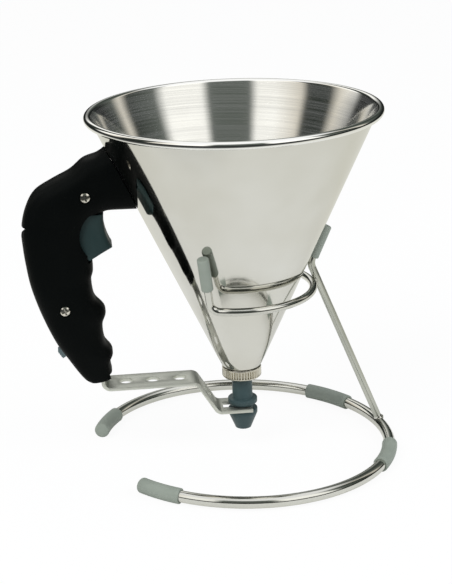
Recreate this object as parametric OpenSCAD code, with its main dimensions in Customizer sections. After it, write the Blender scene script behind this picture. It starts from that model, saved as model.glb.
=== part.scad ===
// Batter dispenser: a hand-held funnel whose trigger lifts a valve nozzle, resting in a bent-wire stand.
// The funnel and all it carries are drawn about an upright funnel axis, heights counted down from the rim,
// and are then leaned over towards the handle as one. The stand is drawn upright on the table.
// The origin is on the table, at the centre of the base ring; the handle points to -X.

/* [Funnel] */
// Outer diameter over the rolled rim
rim_d = 150; // [130:1:170]
// Height of the rim's bead above the table, along the funnel axis
rim_h = 182; // [175:1:200]
// Radius of the rolled bead
bead_r = 2; // [1.5:0.1:2.5]
// Sheet thickness of the cone
cone_wall = 1; // [0.8:0.1:1.4]
// Depth of the cone, from the bead's centre to its lower edge
cone_depth = 136.3; // [125:0.5:145]
// Outer diameter of the cone's lower edge
cone_foot_d = 19.4; // [18.6:0.2:22]
// Lean of the funnel towards its handle, in degrees
lean = 1.9; // [0:0.1:3]

/* [Outlet] */
// Outer diameter of the threaded spout
spout_d = 16; // [15:0.2:16.4]
// Length of the spout below the cone
spout_len = 6.7; // [5.5:0.1:8]
// Outer diameter of the knurled collar nut
nut_d = 20.6; // [19.8:0.2:24]
// Floor thickness of the collar nut
nut_floor = 1.4; // [1:0.1:2]
// Number of knurls round the collar nut
knurls = 36; // [24:1:48]
// Outer diameter of the nozzle's sliding tube
tube_d = 10.3; // [9.5:0.1:11]
// Inner diameter of the nozzle's tube
tube_bore = 6.8; // [5:0.2:7.4]
// Diameter of the nozzle's upper ring and its outlet body
nozzle_d = 15.2; // [14:0.2:17]
// Diameter of the nozzle's tip
tip_d = 8.6; // [7.8:0.1:10]
// Length of the outlet body below the fork's groove
tip_len = 11.9; // [9:0.1:14]
// Diameter of the closed valve head
head_d = 13.2; // [12.4:0.2:14]
// Diameter of the four side ports under the valve head
port_d = 4.4; // [3:0.2:4.8]

/* [Lever] */
// Thickness of the lever strip
strip_t = 1.5; // [1.2:0.1:2]
// Width of the lever strip
strip_w = 18.2; // [16:0.2:18.6]
// Width of the strip's leg inside the handle
leg_w = 10; // [9:0.5:12]
// Drop from the cone's lower edge to the top of the lever strip
strip_drop = 4; // [3.5:0.1:7]
// Drop from the lever strip down to its fork
fork_drop = 17.7; // [15:0.1:19]
// Distance from the funnel axis to the upper bend in front of the nozzle
bend_out = 24.3; // [22:0.1:28]
// Distance from the funnel axis to the lower bend in front of the nozzle
bend_in = 13.7; // [12.5:0.1:16]
// Reach of the fork's tines past the funnel axis
tine_reach = 4.5; // [3:0.5:8]
// Diameter of the holes in the strip
hole_d = 5.8; // [4:0.1:7]
// Distance between the holes in the strip
hole_pitch = 14.1; // [10:0.1:14.5]

/* [Handle] */
// Width of the handle across both shells
handle_w = 26; // [25:0.5:32]
// Wall thickness of the shells
shell_wall = 2.6; // [2:0.1:3]
// Gap between the handle's foot and the lever strip below it
foot_gap = 4; // [3:0.1:6]
// Diameter of the shell screws' heads
screw_head_d = 5.2; // [4.6:0.1:6]
// Diameter of the shell screws' shafts
screw_d = 3; // [2.5:0.1:3.5]
// Thickness of the sheet bracket on the cone
bracket_t = 1.5; // [1:0.1:2]
// Travel of the slide button on the handle's back
button_travel = 5; // [3:0.5:6]

/* [Trigger] */
// Width of the trigger
trigger_w = 18; // [15:0.5:18.4]
// Swing of the trigger, in degrees
trigger_swing = 22; // [15:1:24]
// Distance from the trigger's pin to the strip's leg
crank = 17; // [14:0.5:18]
// Diameter of the trigger's pin
pin_d = 3; // [2.5:0.1:3.4]
// Wire diameter of the return spring
spring_wire = 0.8; // [0.6:0.1:1]

/* [Stand] */
// Radius of the base ring's wire centreline
base_r = 77.4; // [68:0.2:90]
// Wire diameter of the base ring
base_wire = 6; // [4:0.5:7]
// Wire diameter of the post and the holder ring
holder_wire = 4; // [3:0.5:5]
// Wall of the silicone sleeves and caps
sleeve_wall = 1; // [0.8:0.1:1.5]
// Length of each sleeve on the base ring
sleeve_len = 28; // [15:1:35]
// Length of each end cap on the base ring
end_cap_len = 24; // [15:1:30]
// Opening of the base ring between the tips of its end caps, in degrees
base_gap = 55; // [45:1:80]
// Turn of each side prong round the holder ring from the post, in degrees
prong_turn = 122; // [115:1:130]
// Radius of the holder ring's wire centreline
holder_r = 38.3; // [37:0.1:40]
// Depth of the holder ring below the rim
holder_v = 92.8; // [91:0.1:95]
// Length of the caps on the three prongs
prong_cap_len = 18; // [12:1:20]
// Depth of the prongs' tips below the rim
prong_top = 64; // [62:0.5:66]
// Turn of the base ring about the upright axis, in degrees
base_turn = 12; // [0:1:20]
// Turn of the holder ring and its prongs, in degrees
holder_turn = 4.5; // [0:0.5:12]

/* [Hidden] */

// Smoothness of round forms, and of small ones
$fn = 96;
small_fn = 32;

// Clearances
slide_gap = 0.08;    // between the nozzle's tube and what it slides in
pin_gap = 0.05;      // between a pin or shaft and its hole
seat_gap = 0.3;      // between pieces of different bodies that only lie together
braze_gap = 0.05;    // between pieces that are brazed or pressed together
cut = 1;             // how far a cutting solid runs past the face that it cuts

// Funnel
rim_r = rim_d / 2;
foot_r = cone_foot_d / 2;
bead_mid = rim_r - bead_r;                           // radius of the bead's centreline
// the sheet's inner face runs up into the inner side of the bead
cone_angle = acos((bead_r - cone_wall) / norm([bead_mid - foot_r, cone_depth]))
    - atan2(cone_depth, bead_mid - foot_r);
cone_slope = tan(cone_angle);
cone_top_r = foot_r + cone_slope * cone_depth;       // outer radius of the sheet, level with the bead
sheet_h = cone_wall / cos(cone_angle);               // thickness of the sheet along a radius

// Radius of the cone's outer face at a depth below the rim
function cone_r(depth) = cone_top_r - cone_slope * depth;
// Radius of a line that runs beside the cone, off its face by a clearance
function beside_cone(depth, off) = cone_r(depth) + off / cos(cone_angle);

// Lever levels, as depths below the rim
strip_v = cone_depth + strip_drop;
fork_v = strip_v + fork_drop;
valve_lift = 2 * crank * tan(trigger_swing / 2);

// Outlet
tube_r = tube_d / 2;
nut_gap = 0.5;                                       // between the nut's top and the cone's lower edge
nut_bottom = cone_depth + spout_len + 0.2 + nut_floor;
ring_top = nut_bottom + valve_lift + 0.5;            // top of the nozzle's ring, under the nut
groove_r = tube_r;
seal_t = 1.75;
seal_rise = 2.05;                                    // how far the seal stands above the cone's lower edge
spout_rise = 1.3;                                    // how far the spout's flange stands up inside the cone
head_seat = cone_depth - seal_rise - braze_gap;      // depth of the valve head's underside at rest

// Handle: rows of [back, front] points, each [distance in from the rim's edge, depth below the rim], and
// the share of the full width. Rows above grip_top keep their depth; the others spread down to the foot.
grip_top = 47;
foot_v = strip_v - foot_gap;
drawn_foot_v = 136.3;
side = handle_w / 2;
handle_rows = [
    [[16.7, 8.4], [34.9, 45.7], 0.94], [[10.5, 14], [26.2, 46.2], 0.97], [[5.7, 17.5], [18, 46], 1],
    [[-1.5, 20], [9.4, 45.9], 1], [[-8.4, 25.5], [5.3, 46.3], 1], [[-17.8, 30.2], [0.7, 46.5], 1],
    [[-26.8, 35.6], [-1.8, 48.4], 1], [[-31.8, 43.9], [-3.4, 54.6], 1], [[-34.4, 54.1], [-3.8, 61], 1],
    [[-34.2, 64.1], [-3.3, 69.2], 1], [[-33.3, 73.6], [0.1, 77.2], 1], [[-32, 82.5], [-0.8, 82.5], 1],
    [[-30, 90.5], [0.4, 92.4], 1], [[-27.4, 98.9], [5.5, 99.5], 1], [[-24.1, 107.5], [3.6, 106.5], 1],
    [[-20.5, 115.4], [4.3, 116.2], 1], [[-17.1, 121], [8, 122.2], 1], [[-13.6, 126.5], [6.5, 127], 0.99],
    [[-10.5, 131.2], [7.2, 133.2], 0.97], [[-7.6, 135], [7.6, 134.7], 0.94],
    [[-5.3, 136.3], [4.7, 135.5], 0.9]];
row_steps = 3;       // stations between two rows
arc_steps = 9;       // facets across each half section
roundness = 3.2;     // 2 is an ellipse, more is squarer

function stretch(v) = v < grip_top ? v
    : grip_top + (v - grip_top) * (foot_v - grip_top) / (drawn_foot_v - grip_top);
function handle_x(u) = u - rim_r;
function row_point(p) = [handle_x(p[0]), -stretch(p[1])];

// Trigger
pivot = [handle_x(-6.5), -48.5];
crank_v = pivot[1] - crank * tan(trigger_swing / 2);  // height of the crank's middle, at the leg, at rest
crank_t = 4;
hub_r = 4.2;
pad_top = -47.2;
notch_top = -46.7;                                   // ceiling of the shells' cut-out for the trigger
notch_c = [handle_x(9.5), -58.5];
notch_r = 15;
pad_tip = [handle_x(10.7), -64.9];
pad_heel = [handle_x(-0.8), -70.8];
pad_edge = [handle_x(7.2), pad_top];
finger_r = 30;
well_side = trigger_w / 2 + 0.4;                     // half width of the well that the trigger swings in
pin_half = max(well_side + 0.9, side - 2.7);         // the pin ends in the shells' side walls
crank_stub = 3;                                      // how far the crank runs past the leg; its half width

// Strip's leg inside the handle
leg_x = handle_x(2);
leg_top_x = pivot[0] - crank;
leg_neck = strip_v - 6;                              // where the strip narrows to its leg
leg_bend_low = -(foot_v - 8);
leg_bend_high = -58;
leg_top = -44;

// Screws, as [distance, height]
screw_high = [handle_x(-1.5), -37];
screw_low = [handle_x(-15), -stretch(95.8)];
boss_r = 3.5;
head_sink = 1.4;

// Slide button on the handle's back
button_at = [handle_x(-17), -stretch(121)];
button_tilt = 32;
button_w = 7;
button_h = 4.6;
button_out = 2.4;
button_flange = 1.5;

// Slot across the handle's back, as [distance, height], and its half width and height
seam_slot = [handle_x(-34.4), -54.6];
seam_slot_w = 8.5;
seam_slot_h = 5.4;

// Saddle of the bracket on the cone, and the tongue that the shells clamp
saddle_w = handle_w - 2 * shell_wall - 6;
saddle_top = -21.5;
saddle_low = -38.5;
tongue_t = 2;
tongue_top = -27.5;
tongue_low = -39.5;

// Stand
base_wire_r = base_wire / 2;
sleeve_r = base_wire_r + sleeve_wall;
ring_z = sleeve_r;                                   // the sleeves and caps stand on the table
wire_r = holder_wire / 2;
cap_r = wire_r + sleeve_wall;
cap_off = cap_r + seat_gap;                          // a prong's centreline beside the cone
gap_off = 2.5;                                       // how far the base ring's gap sits off the post's line
base_mid = base_turn + gap_off + 180;
wire_bend = 7;
weld_sink = 0.5;                                     // how far two welded wires run into each other
cap_edge = 1.2;                                      // rounding at the closed ends of the base ring's caps

function unit(v) = v / norm(v);
function polar(r, a, z) = [r * cos(a), r * sin(a), z];
// A point of the funnel's frame, on the leaned funnel
function leaned(p) = [p.x * cos(lean) - p.z * sin(lean), p.y, p.x * sin(lean) + p.z * cos(lean)];
function turn(a, b, c) = acos(min(1, unit(b - a) * unit(c - b)));
function trim(p, i, bend) = i == 0 || i == len(p) - 1 ? 0 : bend * tan(turn(p[i - 1], p[i], p[i + 1]) / 2);

// Funnel frame: leaned, and lowered so that depths below the rim are negative heights
module on_funnel() {
    rotate([0, -lean, 0]) translate([0, 0, rim_h]) children();
}

// Places children with their x, y and z axes along u, v and w
module placed(p, u, v, w) {
    multmatrix([[u.x, v.x, w.x, p.x], [u.y, v.y, w.y, p.y], [u.z, v.z, w.z, p.z], [0, 0, 0, 1]]) children();
}

// The rounded corner at an inner point of a run of points, and the whole run with its corners rounded
bend_step = 12;
function corner_arc(p, i, bend) = let(
    d = unit(p[i] - p[i - 1]), in = cross(unit(cross(d, p[i + 1] - p[i])), d),
    full = turn(p[i - 1], p[i], p[i + 1]),
    c = p[i] - d * trim(p, i, bend) + in * bend, n = max(2, ceil(full / bend_step)))
    [for (k = [0 : n]) c + bend * (d * sin(full * k / n) - in * cos(full * k / n))];
function rounded(p, bend) =
    [p[0], for (i = [1 : 1 : len(p) - 2]) each corner_arc(p, i, bend), p[len(p) - 1]];

// Direction of a path at each of its points
function heading(p, i) = unit((i == 0 ? [0, 0, 0] : unit(p[i] - p[i - 1]))
    + (i == len(p) - 1 ? [0, 0, 0] : unit(p[i + 1] - p[i])));
function square_to(v, t) = unit(v - t * (v * t));

// Round wire of radius r along a path
module wire(path, r) {
    n = 16;
    count = len(path);
    v0 = square_to(cross(heading(path, 0), [0.31, 0.52, 0.8]), heading(path, 0));
    across = [for (i = 0, v = v0; i < count;
        i = i + 1, v = i < count ? square_to(v, heading(path, i)) : v) v];
    points = [for (i = [0 : count - 1], j = [0 : n - 1]) path[i]
        + r * (across[i] * cos(360 * j / n) + cross(heading(path, i), across[i]) * sin(360 * j / n))];
    sides = [for (i = [0 : count - 2], j = [0 : n - 1]) let(a = i * n + j, b = i * n + (j + 1) % n)
        each [[a, b + n, b], [a, a + n, b + n]]];
    ends = [[for (j = [0 : n - 1]) j], [for (j = [n - 1 : -1 : 0]) (count - 1) * n + j]];
    polyhedron(points, concat(sides, ends));
}

// Outline of a strip of thickness t that follows a path in the x-z plane
function strip_side(p, off) = [for (i = [0 : len(p) - 1]) let(
    t = heading(p, i), next = unit(i == 0 ? p[1] - p[0] : p[i] - p[i - 1]))
    [p[i].x, p[i].z] + off / (t * next) * [-t.z, t.x]];
function strip_outline(p, t) = let(a = strip_side(p, t / 2), b = strip_side(p, -t / 2))
    concat(a, [for (i = [len(b) - 1 : -1 : 0]) b[i]]);

module cyl_y(r, y0, y1, fn = small_fn) {
    translate([0, y0, 0]) rotate([-90, 0, 0]) cylinder(h = y1 - y0, r = r, $fn = fn);
}

// The space inside the cone's outer face, grown by a distance
module cone_space(grow) {
    g = grow / cos(cone_angle);
    translate([0, 0, -cone_depth])
        cylinder(h = cone_depth, r1 = foot_r + g, r2 = cone_top_r + g, $fn = $fn);
}

// ---------------------------------------------------------------- funnel

module funnel_cone() color("gainsboro") on_funnel() rotate_extrude() {
    bead_c = [bead_mid, 0];
    polygon([[foot_r - sheet_h, -cone_depth], [foot_r, -cone_depth], [cone_top_r, 0], bead_c,
        bead_c + 0.97 * bead_r * [-cos(cone_angle), sin(cone_angle)]]);
    translate(bead_c) circle(bead_r, $fn = small_fn);
}

module outlet_spout() color("silver") on_funnel() difference() {
    rotate_extrude() {
        flange_low = foot_r - sheet_h - braze_gap;
        polygon([[0, -cone_depth - spout_len], [spout_d / 2, -cone_depth - spout_len],
            [spout_d / 2, -cone_depth], [flange_low, -cone_depth],
            [flange_low + spout_rise * cone_slope, -cone_depth + spout_rise],
            [0, -cone_depth + spout_rise]]);
    }
    translate([0, 0, -cone_depth - spout_len - cut])
        cylinder(h = spout_len + spout_rise + 2 * cut, r = tube_r + slide_gap);
    translate([0, 0, -cone_depth + seal_rise - seal_t - braze_gap])
        cylinder(h = seal_t, r = head_d / 2 + 0.5 + braze_gap);
}

module outlet_seal() color("dimgray") on_funnel() translate([0, 0, -cone_depth + seal_rise - seal_t])
    difference() {
        cylinder(h = seal_t, r = head_d / 2 + 0.5);
        translate([0, 0, -cut]) cylinder(h = seal_t + 2 * cut, r = tube_r + slide_gap);
    }

module collar_nut() color("silver") on_funnel() translate([0, 0, -nut_bottom]) {
    nut_h = nut_bottom - cone_depth - nut_gap;
    knurl = 0.9;
    chamfer = 0.8;
    difference() {
        union() {
            cylinder(h = chamfer, r1 = nut_d / 2 - chamfer, r2 = nut_d / 2);
            translate([0, 0, chamfer]) cylinder(h = nut_h - 1.5 * chamfer, r = nut_d / 2);
            translate([0, 0, nut_h - chamfer / 2])
                cylinder(h = chamfer / 2, r1 = nut_d / 2, r2 = nut_d / 2 - chamfer / 2);
        }
        translate([0, 0, nut_floor]) cylinder(h = nut_h, r = spout_d / 2 + pin_gap);
        translate([0, 0, -cut]) cylinder(h = nut_floor + 2 * cut, r = tube_r + slide_gap);
        for (i = [0 : knurls - 1]) rotate([0, 0, i * 360 / knurls]) translate([nut_d / 2, 0, chamfer])
            rotate([0, 0, 45]) translate([-knurl / 2, -knurl / 2, 0])
                cube([knurl, knurl, nut_h - 2 * chamfer]);
    }
}

module nozzle_valve() color("darkslategray") on_funnel() difference() {
    rotate_extrude() polygon([
        [0, -head_seat + 4.6], [2.4, -head_seat + 4.4], [head_d / 2 - 0.8, -head_seat + 1.3],
        [head_d / 2, -head_seat + 0.6], [head_d / 2, -head_seat], [tube_r, -head_seat],
        [tube_r, -ring_top], [nozzle_d / 2 - 0.6, -ring_top], [nozzle_d / 2, -ring_top - 0.5],
        [nozzle_d / 2, -ring_top - 3.2], [nozzle_d / 2 - 0.5, -ring_top - 3.5],
        [nozzle_d / 2 - 0.5, -fork_v + 0.25], [groove_r, -fork_v + 0.25],
        [groove_r, -fork_v - strip_t - 0.25], [nozzle_d / 2, -fork_v - strip_t - 0.25],
        [nozzle_d / 2, -fork_v - strip_t - 2.6], [tip_d / 2, -fork_v - strip_t - tip_len + 0.5],
        [tip_d / 2 - 0.5, -fork_v - strip_t - tip_len], [0, -fork_v - strip_t - tip_len]]);
    translate([0, 0, -fork_v - strip_t - tip_len - cut])
        cylinder(h = fork_v + strip_t + tip_len + cut - head_seat - 0.4, r = tube_bore / 2);
    for (a = [45, 135]) translate([0, 0, -head_seat - 0.9 - port_d / 2 - seal_t]) rotate([0, 90, a])
        cylinder(h = nozzle_d, r = port_d / 2, center = true, $fn = small_fn);
}

// ---------------------------------------------------------------- lever

strip_bend = 4;

// The bent strip: fork, diagonal, perforated flat, and the leg that runs up inside the handle
module lift_lever() color("lightgray") on_funnel() difference() {
    mid = strip_t / 2;
    low = [-bend_in, 0, -fork_v - mid];
    high = [-bend_out, 0, -strip_v - mid];
    path = [[tine_reach, 0, -fork_v - mid], low, high, [leg_x, 0, -strip_v - mid],
        [leg_x, 0, leg_bend_low], [leg_top_x, 0, leg_bend_high], [leg_top_x, 0, leg_top]];
    rotate([90, 0, 0]) linear_extrude(height = strip_w, center = true)
        polygon(strip_outline(rounded(path, strip_bend), strip_t));
    // the leg is narrower than the strip
    for (s = [-1, 1]) translate([leg_top_x - 2 * cut, s > 0 ? leg_w / 2 : -strip_w / 2 - cut, -leg_neck])
        cube([leg_x - leg_top_x + 4 * cut, (strip_w - leg_w) / 2 + cut, leg_top + leg_neck + cut]);
    // window that the trigger's crank works in
    crank_half = crank_t / 2 / cos(trigger_swing / 2);
    window_w = 2 * (crank_stub + seat_gap);
    translate([leg_top_x - strip_t, -window_w / 2, crank_v - crank_half - 2.5])
        cube([2 * strip_t, window_w, 2 * crank_half + 2.5 + seat_gap]);
    // fork slot round the nozzle's neck
    translate([0, 0, -fork_v - strip_t - cut]) cylinder(h = strip_t + 2 * cut, r = groove_r + seat_gap);
    translate([0, -groove_r - seat_gap, -fork_v - strip_t - cut])
        cube([tine_reach + cut, 2 * (groove_r + seat_gap), strip_t + 2 * cut]);
    translate([-bend_in + 3, -groove_r * 0.7, -fork_v - strip_t - cut])
        cube([bend_in - 3, groove_r * 1.4, strip_t + 2 * cut]);
    // holes in the flat, and one in the diagonal
    for (i = [0 : 2]) translate([-bend_out - 8.6 - i * hole_pitch, 0, -strip_v - strip_t - cut])
        cylinder(h = strip_t + 2 * cut, r = hole_d / 2, $fn = small_fn);
    dir = unit(high - low);
    placed((low + high) / 2, cross([0, 1, 0], dir), [0, 1, 0], dir)
        rotate([0, 90, 0]) cylinder(h = 4 * strip_t, r = hole_d / 2, center = true, $fn = small_fn);
}

// ---------------------------------------------------------------- handle

function spline(a, b, c, d, t) =
    0.5 * (2 * b + (c - a) * t + (2 * a - 5 * b + 4 * c - d) * t * t + (3 * b - a - 3 * c + d) * t * t * t);
function row(i) = handle_rows[max(0, min(len(handle_rows) - 1, i))];
function station_item(s, k) = let(i = floor(s / row_steps), t = s / row_steps - i)
    spline(row(i - 1)[k], row(i)[k], row(i + 1)[k], row(i + 2)[k], t);

// One station's half section, inset by a wall: points from back to front round the near (-Y) side
function half_section(s, inset) = let(
    back = row_point(station_item(s, 0)), front = row_point(station_item(s, 1)),
    mid = (back + front) / 2, half = (front - back) / 2,
    dir = unit(half), a = norm(half) - inset, b = side * station_item(s, 2) - inset)
    [for (j = [0 : arc_steps]) let(q = 180 * j / arc_steps, c = -cos(q),
        p = mid + dir * (a * sign(c) * pow(abs(c), 2 / roundness)))
        [p[0], -b * pow(sin(q), 2 / roundness), p[1]]];

// The end of a half section, carried on past the seam in line with its last facet
function carried(end, next, past) = end + (end - next) * past / abs(next.y);

// Half of the handle's form on the near side, and on past the seam by a distance
module half_loft(inset, first, last, past) {
    n = arc_steps + 1;
    sections = [for (s = [first : last]) let(half = half_section(s, inset))
        [carried(half[0], half[1], past), for (j = [1 : arc_steps - 1]) half[j],
            carried(half[arc_steps], half[arc_steps - 1], past)]];
    points = [for (sec = sections) each sec];
    count = len(sections);
    sides = [for (i = [0 : count - 2], j = [0 : n - 1]) let(
        k = (j + 1) % n, a = i * n + j, b = i * n + k, c = (i + 1) * n + k, d = (i + 1) * n + j)
        each [[a, b, c], [a, c, d]]];
    ends = [[for (j = [n - 1 : -1 : 0]) j], [for (j = [0 : n - 1]) (count - 1) * n + j]];
    polyhedron(points, concat(sides, ends));
}

last_station = (len(handle_rows) - 1) * row_steps;

// What both shells share, drawn on the near side
module half_shell() {
    difference() {
        union() {
            difference() {
                half_loft(0, 0, last_station, cut);
                half_loft(shell_wall, 0, last_station - 4, 2 * cut);
            }
            translate([screw_high[0], 0, screw_high[1]])
                cyl_y(boss_r, -side + 1.2, -tongue_t / 2 - braze_gap);
            translate([screw_low[0], 0, screw_low[1]]) cyl_y(boss_r, -side + 1.2, cut / 2);
            // seat for the return spring
            translate([pivot[0] - 12.5, -side + 5, spring_seat]) cube([8, side - 5 + cut / 2, 3.6]);
        }
        // the seam
        translate([-2 * rim_r, 0, -rim_h]) cube([2 * rim_r, side, rim_h]);
        cone_space(seat_gap);
        // notch that shows the trigger's side, and the well that it swings in
        translate([0, 0, notch_top - 40]) intersection() {
            translate([notch_c[0], 0, 40 + notch_c[1] - notch_top]) cyl_y(notch_r, -side - cut, cut, 96);
            translate([notch_c[0] - 20, -side - 2 * cut, 0]) cube([40, side + 4 * cut, 40]);
        }
        translate([0, 0, notch_top - 40]) intersection() {
            translate([pivot[0], 0, 40 + pivot[1] - notch_top])
                cyl_y(norm(pad_tip - pivot) + 0.5, -well_side, cut, 96);
            translate([pivot[0] - 5, -side, 0]) cube([40, side + 2 * cut, 40]);
        }
        translate([pivot[0], 0, pivot[1]]) {
            cyl_y(hub_r + 0.5, -well_side, cut);
            cyl_y(pin_d / 2 + pin_gap, -pin_half - 0.1, cut);
        }
        // way out for the lever strip at the handle's foot, with room for its lift
        translate([leg_x - 3, -strip_w / 2 - 0.5, -foot_v - cut])
            cube([30, strip_w / 2 + 0.5 + cut, cut + valve_lift - foot_gap + 1.2]);
        translate([leg_x - 3, -strip_w / 2 - 0.5, -foot_v - cut])
            cube([5, strip_w / 2 + 0.5 + cut, cut + foot_v - leg_neck + valve_lift + 0.6]);
        // slot across the back
        translate([seam_slot[0] - 4, -seam_slot_w, seam_slot[1] - seam_slot_h / 2])
            cube([4 + shell_wall + 1, seam_slot_w + cut, seam_slot_h]);
        // slot for the slide button
        translate([button_at[0], 0, button_at[1]]) rotate([0, -button_tilt, 0])
            translate([-6, -button_w / 2 - seat_gap, -button_h / 2 - seat_gap])
                cube([12, button_w / 2 + seat_gap + cut, button_h + button_travel + 2 * seat_gap]);
    }
}

module handle_shell_near() color("#141517") on_funnel() difference() {
    half_shell();
    for (p = [screw_high, screw_low]) translate([p[0], 0, p[1]]) {
        cyl_y(screw_head_d / 2 + 0.2, -side - cut, -side + head_sink);
        cyl_y(screw_d / 2 + pin_gap, -side - cut, cut);
    }
}

module handle_shell_far() color("#17181a") on_funnel() difference() {
    mirror([0, 1, 0]) half_shell();
    for (p = [screw_high, screw_low]) translate([p[0], 0, p[1]])
        cyl_y(screw_d / 2 + pin_gap, -cut, side - 3.4);
}

module shell_screws() color("silver") on_funnel() for (p = [screw_high, screw_low])
    translate([p[0], 0, p[1]]) difference() {
        union() {
            cyl_y(screw_head_d / 2, -side + head_sink - 1.2, -side + head_sink);
            cyl_y(screw_d / 2, -side + head_sink - 0.5, side - 3.8);
        }
        for (a = [45, 135]) rotate([0, a, 0])
            translate([-screw_head_d * 0.32, -side + head_sink - 1.2 - cut, -0.4])
                cube([screw_head_d * 0.64, cut + 0.8, 0.8]);
    }

// Saddle welded to the cone, with a tongue that the shells' upper posts clamp
module handle_bracket() color("lightgray") on_funnel() difference() {
    union() {
        intersection() {
            cone_space(bracket_t + braze_gap);
            translate([-rim_r, -saddle_w / 2, saddle_low]) cube([rim_r, saddle_w, saddle_top - saddle_low]);
        }
        translate([screw_high[0] - 5, -tongue_t / 2, tongue_low])
            cube([rim_r / 2, tongue_t, tongue_top - tongue_low]);
    }
    cone_space(braze_gap);
    translate([screw_high[0], 0, screw_high[1]]) cyl_y(screw_d / 2 + 0.2, -tongue_t, tongue_t);
}

// ---------------------------------------------------------------- trigger

module trigger() color("darkslategray") on_funnel() difference() {
    chord = (pad_edge + pad_tip) / 2;
    along = unit(pad_tip - pad_edge);
    out = [-along[1], along[0]];
    reach = sqrt(pow(finger_r, 2) - pow(norm(pad_tip - pad_edge) / 2, 2));
    union() {
        rotate([90, 0, 0]) translate([0, 0, -trigger_w / 2]) linear_extrude(height = trigger_w)
            polygon([pad_edge, pad_tip, pad_heel, pivot + [-2.5, -17], pivot + [-4, -9],
                pivot + [-hub_r, 0], pivot + [0, 1.6]]);
        translate([pivot[0], 0, pivot[1]]) {
            cyl_y(hub_r, -trigger_w / 2, trigger_w / 2);
            rotate([0, -trigger_swing / 2, 0]) {
                translate([-crank - crank_stub, -crank_stub, -crank_t / 2])
                    cube([crank + crank_stub, 2 * crank_stub, crank_t]);
                translate([-crank - crank_stub, 0, 0]) cyl_y(crank_t / 2, -crank_stub, crank_stub);
            }
        }
    }
    translate([chord[0] + out[0] * reach, 0, chord[1] + out[1] * reach])
        cyl_y(finger_r, -trigger_w, trigger_w, 96);
    translate([pivot[0], 0, pivot[1]]) cyl_y(pin_d / 2 + pin_gap, -trigger_w, trigger_w);
}

module trigger_pin() color("silver") on_funnel() translate([pivot[0], 0, pivot[1]])
    cyl_y(pin_d / 2, -pin_half, pin_half);

// Compression spring between the crank and its seat in the shells
spring_x = pivot[0] - 8.5;
spring_low = pivot[1] - 8.5 * tan(trigger_swing / 2) + crank_t / 2 / cos(trigger_swing / 2)
    + 1.1 * spring_wire + 0.9;
spring_seat = -36;
spring_high = spring_seat - spring_wire / 2 - 0.1;
spring_r = 2.9;
spring_turns = 5;
spring_sides = 6;
spring_rings = 60;

function coil(i) = let(a = 360 * spring_turns * i / spring_rings)
    [spring_x + spring_r * cos(a), spring_r * sin(a),
        spring_low + (spring_high - spring_low) * i / spring_rings];

module return_spring() color("silver") on_funnel() {
    points = [for (i = [0 : spring_rings], j = [0 : spring_sides - 1])
        let(a = 360 * spring_turns * i / spring_rings, q = 360 * j / spring_sides)
        coil(i) + spring_wire / 2 * (cos(q) * [cos(a), sin(a), 0] + sin(q) * [0, 0, 1])];
    sides = [for (i = [0 : spring_rings - 1], j = [0 : spring_sides - 1]) let(k = (j + 1) % spring_sides,
        a = i * spring_sides + j, b = i * spring_sides + k)
        each [[a, b, b + spring_sides], [a, b + spring_sides, a + spring_sides]]];
    ends = [[for (j = [spring_sides - 1 : -1 : 0]) j],
        [for (j = [0 : spring_sides - 1]) spring_rings * spring_sides + j]];
    polyhedron(points, concat(sides, ends));
}

module slide_button() color("slategray") on_funnel()
    translate([button_at[0], 0, button_at[1]]) rotate([0, -button_tilt, 0]) {
        translate([-button_out, -button_w / 2, -button_h / 2])
            cube([button_out + shell_wall + 1, button_w, button_h]);
        translate([shell_wall + 0.9, -button_w / 2 - button_flange, -button_h / 2 - button_flange])
            cube([1.4, button_w + 2 * button_flange, button_h + 2 * button_flange]);
    }

// ---------------------------------------------------------------- stand

// Part of the base ring's circle, as a bar of radius r from angle a0 to a1
module base_arc(r, a0, a1) {
    translate([0, 0, ring_z]) rotate([0, 0, a0])
        rotate_extrude(angle = a1 - a0) translate([base_r, 0]) circle(r, $fn = small_fn);
}

function base_deg(length) = length / base_r * 180 / PI;
wire_end = base_gap / 2 + base_deg(cap_edge + sleeve_wall);
prong_dir = [holder_turn, holder_turn + prong_turn, holder_turn - prong_turn];

module base_ring() color("silver") base_arc(base_wire_r, base_mid + wire_end, base_mid + 360 - wire_end);

module base_sleeve(angle) {
    half = base_deg(sleeve_len) / 2;
    difference() {
        base_arc(sleeve_r, angle - half, angle + half);
        base_arc(base_wire_r + braze_gap, angle - half - 2, angle + half + 2);
    }
}

// End cap with a rounded edge round its closed end; end is 1 or -1, the end of the ring that it covers
module base_cap(end) {
    tip = base_gap / 2 + base_deg(cap_edge);
    mouth = base_gap / 2 + base_deg(end_cap_len);
    bottom = wire_end - base_deg(braze_gap);
    end_r = sleeve_r - 0.1;
    difference() {
        base_arc(sleeve_r, base_mid + (end > 0 ? tip : -mouth), base_mid + (end > 0 ? mouth : -tip));
        base_arc(base_wire_r + braze_gap, base_mid + (end > 0 ? bottom : -mouth - 2),
            base_mid + (end > 0 ? mouth + 2 : -bottom));
    }
    rotate([0, 0, base_mid + end * tip]) translate([base_r, 0, ring_z]) rotate([end * 90, 0, 0])
        rotate_extrude($fn = small_fn) polygon([[0, -0.3], [end_r, -0.3],
            for (a = [0 : 22.5 : 90]) [end_r - cap_edge + cap_edge * cos(a), cap_edge * sin(a)],
            [0, cap_edge]]);
}

module base_sleeve_near() color("slategray") base_sleeve(base_turn - 33);
module base_sleeve_far() color("slategray") base_sleeve(base_turn + 33);
module base_cap_near() color("slategray") base_cap(1);
module base_cap_far() color("slategray") base_cap(-1);

// A prong's tip, off the cone by the cap and its clearance, in the funnel's frame
function prong_tip(i) = polar(beside_cone(prong_top, cap_off), prong_dir[i], -prong_top);
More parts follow.
